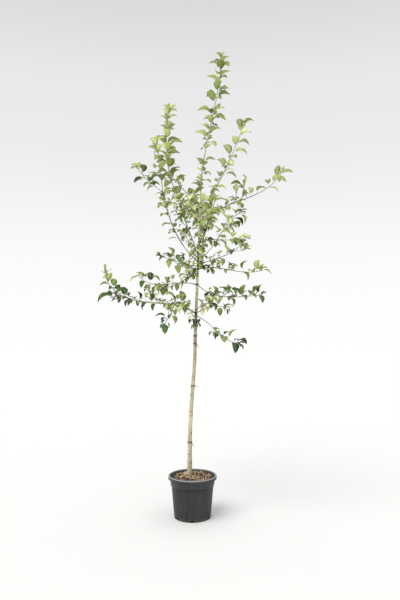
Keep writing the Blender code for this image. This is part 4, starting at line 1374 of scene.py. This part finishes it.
class Pot:
    """The nursery pot: a rolled rim, a beaded collar, a fluted wall and drainage notches."""

    STEPS = 432
    NOTCHES = 6
    NOTCH = (0.030, 0.027, 0.022)
    LIP_DROP = 0.006
    LIP_WIDTH = 0.0105
    LIP_SLANT = 0.013
    BEAD = 0.213
    BEAD_OUT = 0.0022
    BEAD_HALF = 0.0026
    SPLASH = 0.024

    def section(self) -> list[tuple[float, float]]:
        """Half section, down the outer side and up the inner one."""
        top, rim = POT.height, POT.rim_radius
        rim_foot = top - POT.rim_depth
        half = self.LIP_WIDTH / 2
        roll = [(POT.inner_radius(top - self.LIP_SLANT), top - self.LIP_SLANT)]
        roll += [
            (rim - half + half * math.sin(a), top - self.LIP_DROP * (1 - math.cos(a)))
            for a in (math.radians(15 * n) for n in range(-6, 7))
        ]
        skirt = [(rim - 0.0003, rim_foot + 0.0015), (rim - 0.0015, rim_foot), (rim - 0.003, rim_foot)]
        under = [(rim - 0.0035, rim_foot + 0.002), (POT.collar_radius + 0.0015, rim_foot + 0.003)]
        collar = [(POT.collar_radius, rim_foot)]
        collar += [
            (POT.collar_radius - 0.0007 + self.BEAD_OUT * math.sin(a), self.BEAD + self.BEAD_HALF * math.cos(a))
            for a in (math.radians(30 * n) for n in range(1, 6))
        ]
        step = [
            (POT.collar_foot_radius + 0.0003, POT.collar_foot + 0.002),
            (POT.collar_foot_radius - 0.0004, POT.collar_foot),
            (POT.wall_top_radius + 0.0004, POT.collar_foot - 0.003),
            (POT.wall_top_radius, POT.collar_foot - 0.004),
        ]
        levels = 26
        drop = (POT.collar_foot - 0.004 - POT.flute_foot) / levels
        wall = []
        for n in range(1, levels + 1):
            share = n / levels
            radius = POT.wall_top_radius + (POT.wall_foot_radius - POT.wall_top_radius) * share
            wall.append((radius, POT.collar_foot - 0.004 - drop * n))
        outer = POT.foot_radius
        foot = [(outer + 0.0003, 0.004), (outer - 0.0005, 0.0008), (outer - 0.0015, 0.0)]
        inside = [(0.0, 0.0), (0.0, POT.floor), (POT.inner_foot_radius, POT.floor)]
        return roll + skirt + under + collar + step + wall + foot + inside

    def fluting(self, radius: float, height: float, angle: float) -> float:
        """The radius with its flutes, which fade out at the collar and at the foot."""
        inside = POT.wall_foot_radius - 0.0001 <= radius <= POT.wall_top_radius + 0.0001
        if not inside or height > POT.collar_foot - 0.0035:
            return radius
        fade = min(1.0, (POT.collar_foot - 0.004 - height) / 0.010, (height - POT.flute_foot) / 0.012)
        wave = math.cos(angle * POT.flutes)
        return radius - POT.flute_depth * max(0.0, fade) * (1 - abs(wave) ** 0.5 * math.copysign(1, wave)) / 2

    def build(self) -> None:
        """Makes the pot and cuts its drainage notches."""
        shell = bmesh.new()
        corners = [shell.verts.new((radius, 0, height)) for radius, height in self.section()]
        edges = [shell.edges.new(pair) for pair in zip(corners, corners[1:] + corners[:1])]
        bmesh.ops.spin(
            shell, geom=corners + edges, axis=(0, 0, 1), cent=(0, 0, 0), dvec=(0, 0, 0),
            angle=2 * math.pi, steps=self.STEPS, use_merge=True, use_duplicate=False,
        )
        bmesh.ops.remove_doubles(shell, verts=shell.verts, dist=1e-5)
        for vertex in shell.verts:
            radius = math.hypot(vertex.co.x, vertex.co.y)
            if radius > POT.wall_foot_radius - 0.001:
                angle = math.atan2(vertex.co.y, vertex.co.x)
                vertex.co.xy *= self.fluting(radius, vertex.co.z, angle) / radius
        bmesh.ops.recalc_face_normals(shell, faces=shell.faces)
        mesh = bpy.data.meshes.new("nursery_pot")
        shell.to_mesh(mesh)
        shell.free()
        pot = bpy.data.objects.new("nursery_pot", mesh)
        bpy.context.scene.collection.objects.link(pot)
        self.cut_notches(pot)
        mesh = pot.data
        mesh.materials.clear()
        bead = (self.BEAD - self.BEAD_HALF, self.BEAD + self.BEAD_HALF)
        # Heights of the painted highlight along the top of the lip.
        lip_highlight = (POT.height - self.LIP_DROP, POT.height - 0.3 * self.LIP_DROP)
        # The second colour is dust and, brightened, the painted highlight on the lip and bead.
        finish = PlasticFinish(
            "pot_plastic", (0.0088, 0.0092, 0.0096), (0.118, 0.124, 0.128), (0.13, 0.095, 0.065),
            lip_highlight, bead, POT.collar_foot, self.SPLASH,
        )
        mesh.materials.append(finish.material())
        mesh.shade_smooth()
        mesh.set_sharp_from_angle(angle=math.radians(42))
        settle(pot, "pot_plastic", "pot")

    @classmethod
    def notch_angles(cls) -> list[float]:
        """Where the notches stand round the pot, the first one at the front."""
        return [2 * math.pi * number / cls.NOTCHES - math.pi / 2 for number in range(cls.NOTCHES)]

    def cut_notches(self, pot: bpy.types.Object) -> None:
        """Cuts the drainage notches round the foot, and applies the cuts."""
        cutters = []
        for angle in self.notch_angles():
            bpy.ops.mesh.primitive_cube_add(size=1)
            notch = bpy.context.object
            notch.scale = self.NOTCH
            notch.rotation_euler.z = angle
            notch.location = direction(math.degrees(angle), 0) * POT.foot_radius
            cutters.append(notch)
            cut = pot.modifiers.new("notch", "BOOLEAN")
            cut.operation = "DIFFERENCE"
            cut.object = notch
        bpy.context.view_layer.update()
        graph = bpy.context.evaluated_depsgraph_get()
        mesh = bpy.data.meshes.new_from_object(pot.evaluated_get(graph))
        pot.modifiers.clear()
        pot.data = mesh
        for cutter in cutters:
            bpy.data.objects.remove(cutter)


@dataclass(frozen=True)
class ChipKind:
    """One tint of bark chip in the compost: how many there are and how large."""

    name: str
    density: float
    size: float
    seed: int
    dark: Colour
    light: Colour


class Compost:
    """The compost's surface, with bark chips scattered over it."""

    RINGS = 40
    STEPS = 96
    WALL_CLEAR = 0.006
    PATCHES = 22.0
    REACH_OF_SIZE = 0.42
    NOTCH_SHADOW = (0.0020, 0.0262, 0.0102)
    NOTCH_SHADOW_RADIUS = 0.1036
    KINDS = (
        ChipKind("dark", 6500.0, 0.0190, 3, (0.012, 0.008, 0.006), (0.055, 0.034, 0.022)),
        ChipKind("red", 5500.0, 0.0210, 5, (0.100, 0.044, 0.032), (0.290, 0.150, 0.105)),
        ChipKind("pink", 3200.0, 0.0210, 13, (0.260, 0.155, 0.110), (0.620, 0.440, 0.310)),
        ChipKind("straw", 3600.0, 0.0220, 8, (0.290, 0.215, 0.095), (0.700, 0.580, 0.330)),
    )

    def surface(self) -> bpy.types.Object:
        """The crumbly ground under the chips, which fills the pot, with a block of painted shadow in each
        notch.
        """
        edge = POT.inner_radius(POT.compost_edge) - GAP
        section = [(edge * n / self.RINGS, POT.compost_edge) for n in range(self.RINGS + 1)]
        section += [(POT.inner_radius(POT.floor) - GAP, POT.floor + GAP), (0.0, POT.floor + GAP)]
        body = bmesh.new()
        corners = [body.verts.new((radius, 0, height)) for radius, height in section]
        edges = [body.edges.new(pair) for pair in zip(corners, corners[1:] + corners[:1])]
        bmesh.ops.spin(
            body, geom=corners + edges, axis=(0, 0, 1), cent=(0, 0, 0), dvec=(0, 0, 0),
            angle=2 * math.pi, steps=self.STEPS, use_merge=True, use_duplicate=False,
        )
        bmesh.ops.remove_doubles(body, verts=body.verts, dist=1e-5)
        for vertex in body.verts:
            if vertex.co.z > POT.compost_edge / 2:
                x, y, _ = vertex.co
                lump = noise.noise(Vector((x, y, 0)) * 55) + 0.6 * noise.noise(Vector((x, y, 3)) * 160)
                vertex.co.z = TRUNK.compost_height(x, y) - 0.0015 + 0.0022 * lump
        # Painted shadow: a near-black block inside each notch, where the notch is in shade.
        for angle in Pot.notch_angles():
            shadow_block = Matrix.Translation(direction(math.degrees(angle), 0) * self.NOTCH_SHADOW_RADIUS)
            shadow_block.translation.z = self.NOTCH_SHADOW[2] / 2 + GAP
            turned = shadow_block @ Matrix.Rotation(angle, 4, "Z") @ Matrix.Diagonal((*self.NOTCH_SHADOW, 1))
            made = bmesh.ops.create_cube(body, size=1.0, matrix=turned)
            for face in {face for vertex in made["verts"] for face in vertex.link_faces}:
                face.material_index = 1
        bmesh.ops.recalc_face_normals(body, faces=body.faces)
        mesh = bpy.data.meshes.new("compost_bed")
        body.to_mesh(mesh)
        body.free()
        mesh.shade_smooth()
        # The second finish is the near-black painted shadow in the notches.
        for finish in (
            ChipFinish("compost_crumb", (0.010, 0.007, 0.005), (0.060, 0.036, 0.022)),
            ChipFinish("compost_wet", (0.0010, 0.0008, 0.0006), (0.0050, 0.0035, 0.0025), 0.08),
        ):
            mesh.materials.append(finish.material())
        bed = bpy.data.objects.new("compost_bed", mesh)
        bpy.context.scene.collection.objects.link(bed)
        settle(bed, "compost", "compost")
        return bed

    def top_of(self, mesh: bpy.types.Mesh, size: float) -> bpy.types.Mesh:
        """The bed's upper side alone, kept half a chip of this size clear of the wall."""
        top = bmesh.new()
        top.from_mesh(mesh)
        reach = POT.inner_radius(POT.compost_edge) - self.WALL_CLEAR - self.REACH_OF_SIZE * size
        gone = []
        for face in top.faces:
            middle = face.calc_center_median()
            low = middle.z < POT.compost_edge / 2
            if low or face.normal.z < 0.3 or middle.xy.length > reach:
                gone.append(face)
        bmesh.ops.delete(top, geom=gone, context="FACES")
        made = bpy.data.meshes.new("chip_ground")
        top.to_mesh(made)
        top.free()
        return made

    def chip(self) -> bpy.types.Object:
        """One bark chip, a bent splinter one unit long."""
        shell = bmesh.new()
        bmesh.ops.create_cube(shell, size=1.0)
        bmesh.ops.subdivide_edges(shell, edges=shell.edges[:], cuts=1)
        for vertex in shell.verts:
            x, y, z = vertex.co
            narrow = 1 - 0.5 * abs(x) * 1.4
            vertex.co = (x, y * 0.26 * narrow, z * 0.13 * narrow + 0.16 * x * x)
            vertex.co += 0.05 * noise.noise_vector(Vector((x, y, z)) * 3.1)
        bmesh.ops.recalc_face_normals(shell, faces=shell.faces)
        mesh = bpy.data.meshes.new("chip")
        shell.to_mesh(mesh)
        shell.free()
        return bpy.data.objects.new("chip", mesh)

    def scatter_tree(self) -> tuple[bpy.types.GeometryNodeTree, dict[str, str]]:
        """Geometry nodes that scatter chips over the surface's upper side.

        Returns:
            The node tree, and its inputs' identifiers by name.
        """
        tree = bpy.data.node_groups.new("scatter_chips", "GeometryNodeTree")
        wanted = (
            ("Surface", "Geometry"), ("Chip", "Object"), ("Density", "Float"), ("Size", "Float"),
            ("Patches", "Float"), ("Seed", "Int"), ("Finish", "Material"),
        )
        names = {}
        for name, kind in wanted:
            socket = tree.interface.new_socket(
                name=name, in_out="INPUT", socket_type="NodeSocket" + kind
            )
            names[name] = socket.identifier
        tree.interface.new_socket(name="Chips", in_out="OUTPUT", socket_type="NodeSocketGeometry")

        def add(kind: str, settings: dict, sockets: dict) -> bpy.types.Node:
            """Adds a node with its settings, values and links."""
            node = tree.nodes.new(kind)
            for name, value in settings.items():
                setattr(node, name, value)
            for name, value in sockets.items():
                if isinstance(value, bpy.types.NodeSocket):
                    tree.links.new(value, node.inputs[name])
                else:
                    node.inputs[name].default_value = value
            return node

        given = tree.nodes.new("NodeGroupInput").outputs
        normal = tree.nodes.new("GeometryNodeInputNormal").outputs[0]
        up = add("ShaderNodeSeparateXYZ", {}, {0: normal}).outputs["Z"]
        flat = add("FunctionNodeCompare", {"operation": "GREATER_THAN"}, {0: up, 1: 0.5})
        patches = add(
            "ShaderNodeTexNoise", {"noise_dimensions": "4D"},
            {"W": given["Seed"], "Scale": given["Patches"], "Detail": 1.0},
        )
        share = add(
            "ShaderNodeMapRange", {}, {"Value": patches.outputs[0], 1: 0.40, 2: 0.60, 3: 0.2, 4: 1.8}
        )
        density = add(
            "ShaderNodeMath", {"operation": "MULTIPLY"}, {0: given["Density"], 1: share.outputs[0]}
        )
        spread = add(
            "GeometryNodeDistributePointsOnFaces", {},
            {"Mesh": given["Surface"], "Selection": flat.outputs[0],
             "Density": density.outputs[0], "Seed": given["Seed"]},
        )
        turn = add(
            "FunctionNodeRandomValue", {"data_type": "FLOAT_VECTOR"},
            {0: (-0.5, -0.5, 0.0), 1: (0.5, 0.5, 2 * math.pi), "Seed": given["Seed"]},
        )
        size = add(
            "FunctionNodeRandomValue", {"data_type": "FLOAT"},
            {2: 0.45, 3: 1.20, "Seed": given["Seed"]},
        )
        scaled = add("ShaderNodeMath", {"operation": "MULTIPLY"}, {0: size.outputs[1], 1: given["Size"]})
        chip = add("GeometryNodeObjectInfo", {}, {"Object": given["Chip"]})
        placed = add(
            "GeometryNodeInstanceOnPoints", {},
            {"Points": spread.outputs["Points"], "Instance": chip.outputs["Geometry"],
             "Rotation": turn.outputs[0], "Scale": scaled.outputs[0]},
        )
        real = add("GeometryNodeRealizeInstances", {}, {"Geometry": placed.outputs[0]})
        dressed = add(
            "GeometryNodeSetMaterial", {}, {"Geometry": real.outputs[0], "Material": given["Finish"]}
        )
        add("NodeGroupOutput", {}, {0: dressed.outputs[0]})
        return tree, names

    def build(self) -> None:
        """Makes the bed and scatters each tint of chip over it."""
        bed = self.surface()
        chip = self.chip()
        tree, names = self.scatter_tree()
        for kind in self.KINDS:
            guide = bpy.data.objects.new("chips", self.top_of(bed.data, kind.size))
            bpy.context.scene.collection.objects.link(guide)
            scatter = guide.modifiers.new("scatter", "NODES")
            scatter.node_group = tree
            finish = ChipFinish("chip_" + kind.name, kind.dark, kind.light).material()
            values = (("Chip", chip), ("Density", kind.density), ("Size", kind.size),
                      ("Patches", self.PATCHES), ("Seed", kind.seed), ("Finish", finish))
            for name, value in values:
                scatter[names[name]] = value
            bpy.context.view_layer.update()
            graph = bpy.context.evaluated_depsgraph_get()
            mesh = bpy.data.meshes.new_from_object(guide.evaluated_get(graph))
            mesh.materials.clear()
            mesh.materials.append(finish)
            bpy.data.objects.remove(guide)
            piece = bpy.data.objects.new("chips_" + kind.name, mesh)
            bpy.context.scene.collection.objects.link(piece)
            settle(piece, "compost")
        bpy.data.objects.remove(chip)


class Studio:
    """The pale floor, the soft light and the camera."""

    CAMERA = (0.044, -3.28, 1.125)
    TILT = 92.55
    LENS = 33.0
    FLOOR = (0.60, 0.60, 0.59)
    SKY_STRENGTH = 1.4
    SKY = (
        (0.0, 1.0), (0.134, 0.957), (0.223, 0.895), (0.30, 0.845), (0.41, 0.812), (0.52, 0.70),
        (0.80, 1.35),
    )
    SUN_FROM = (-0.5, -0.55, 1.0)
    SUN_ANGLE = 42.0
    SUN_STRENGTH = 2.2

    def build(self) -> None:
        """Makes the floor, the lights and the camera."""
        bpy.ops.mesh.primitive_plane_add(size=60)
        floor = bpy.context.object
        floor.name = "floor"
        nodes = Nodes("floor")
        floor.data.materials.append(nodes.finish(Base_Color=self.FLOOR, Roughness=0.95))
        self.sky()
        self.sun()
        camera = bpy.data.cameras.new("camera")
        camera.lens = self.LENS
        holder = bpy.data.objects.new("camera", camera)
        holder.location = self.CAMERA
        holder.rotation_euler = (math.radians(self.TILT), 0, 0)
        bpy.context.scene.collection.objects.link(holder)
        bpy.context.scene.camera = holder
        bpy.context.scene.view_settings.view_transform = "Standard"

    def sky(self) -> None:
        """A white backdrop that turns grey higher up, under a bright overhead screen."""
        world = bpy.data.worlds.new("sky")
        world.use_nodes = True
        tree = world.node_tree
        place = tree.nodes.new("ShaderNodeTexCoord")
        parts = tree.nodes.new("ShaderNodeSeparateXYZ")
        ramp = tree.nodes.new("ShaderNodeValToRGB")
        background = tree.nodes["Background"]
        tree.links.new(place.outputs["Generated"], parts.inputs[0])
        tree.links.new(parts.outputs["Z"], ramp.inputs["Fac"])
        tree.links.new(ramp.outputs["Color"], background.inputs["Color"])
        background.inputs["Strength"].default_value = self.SKY_STRENGTH
        while len(ramp.color_ramp.elements) < len(self.SKY):
            ramp.color_ramp.elements.new(1.0)
        for element, (height, grey) in zip(ramp.color_ramp.elements, self.SKY):
            element.position = height
            level = grey / self.SKY_STRENGTH
            element.color = (level, level, level, 1)
        bpy.context.scene.world = world

    def sun(self) -> None:
        """A broad soft light from above, a little from the left and the front."""
        light = bpy.data.lights.new("key", "SUN")
        light.angle = math.radians(self.SUN_ANGLE)
        light.energy = self.SUN_STRENGTH
        holder = bpy.data.objects.new("key", light)
        aim = -Vector(self.SUN_FROM)
        holder.rotation_euler = aim.to_track_quat("-Z", "Y").to_euler()
        bpy.context.scene.collection.objects.link(holder)


def main() -> None:
    """Builds every piece in order."""
    logging.basicConfig(level=logging.INFO, format="%(name)s: %(message)s")
    Studio().build()
    Pot().build()
    Compost().build()
    spaces = Spaces()
    wood = Wood(spaces)
    wood.trunk()
    wood.boughs()
    Foliage(spaces).build()


if __name__ == "__main__":
    main()
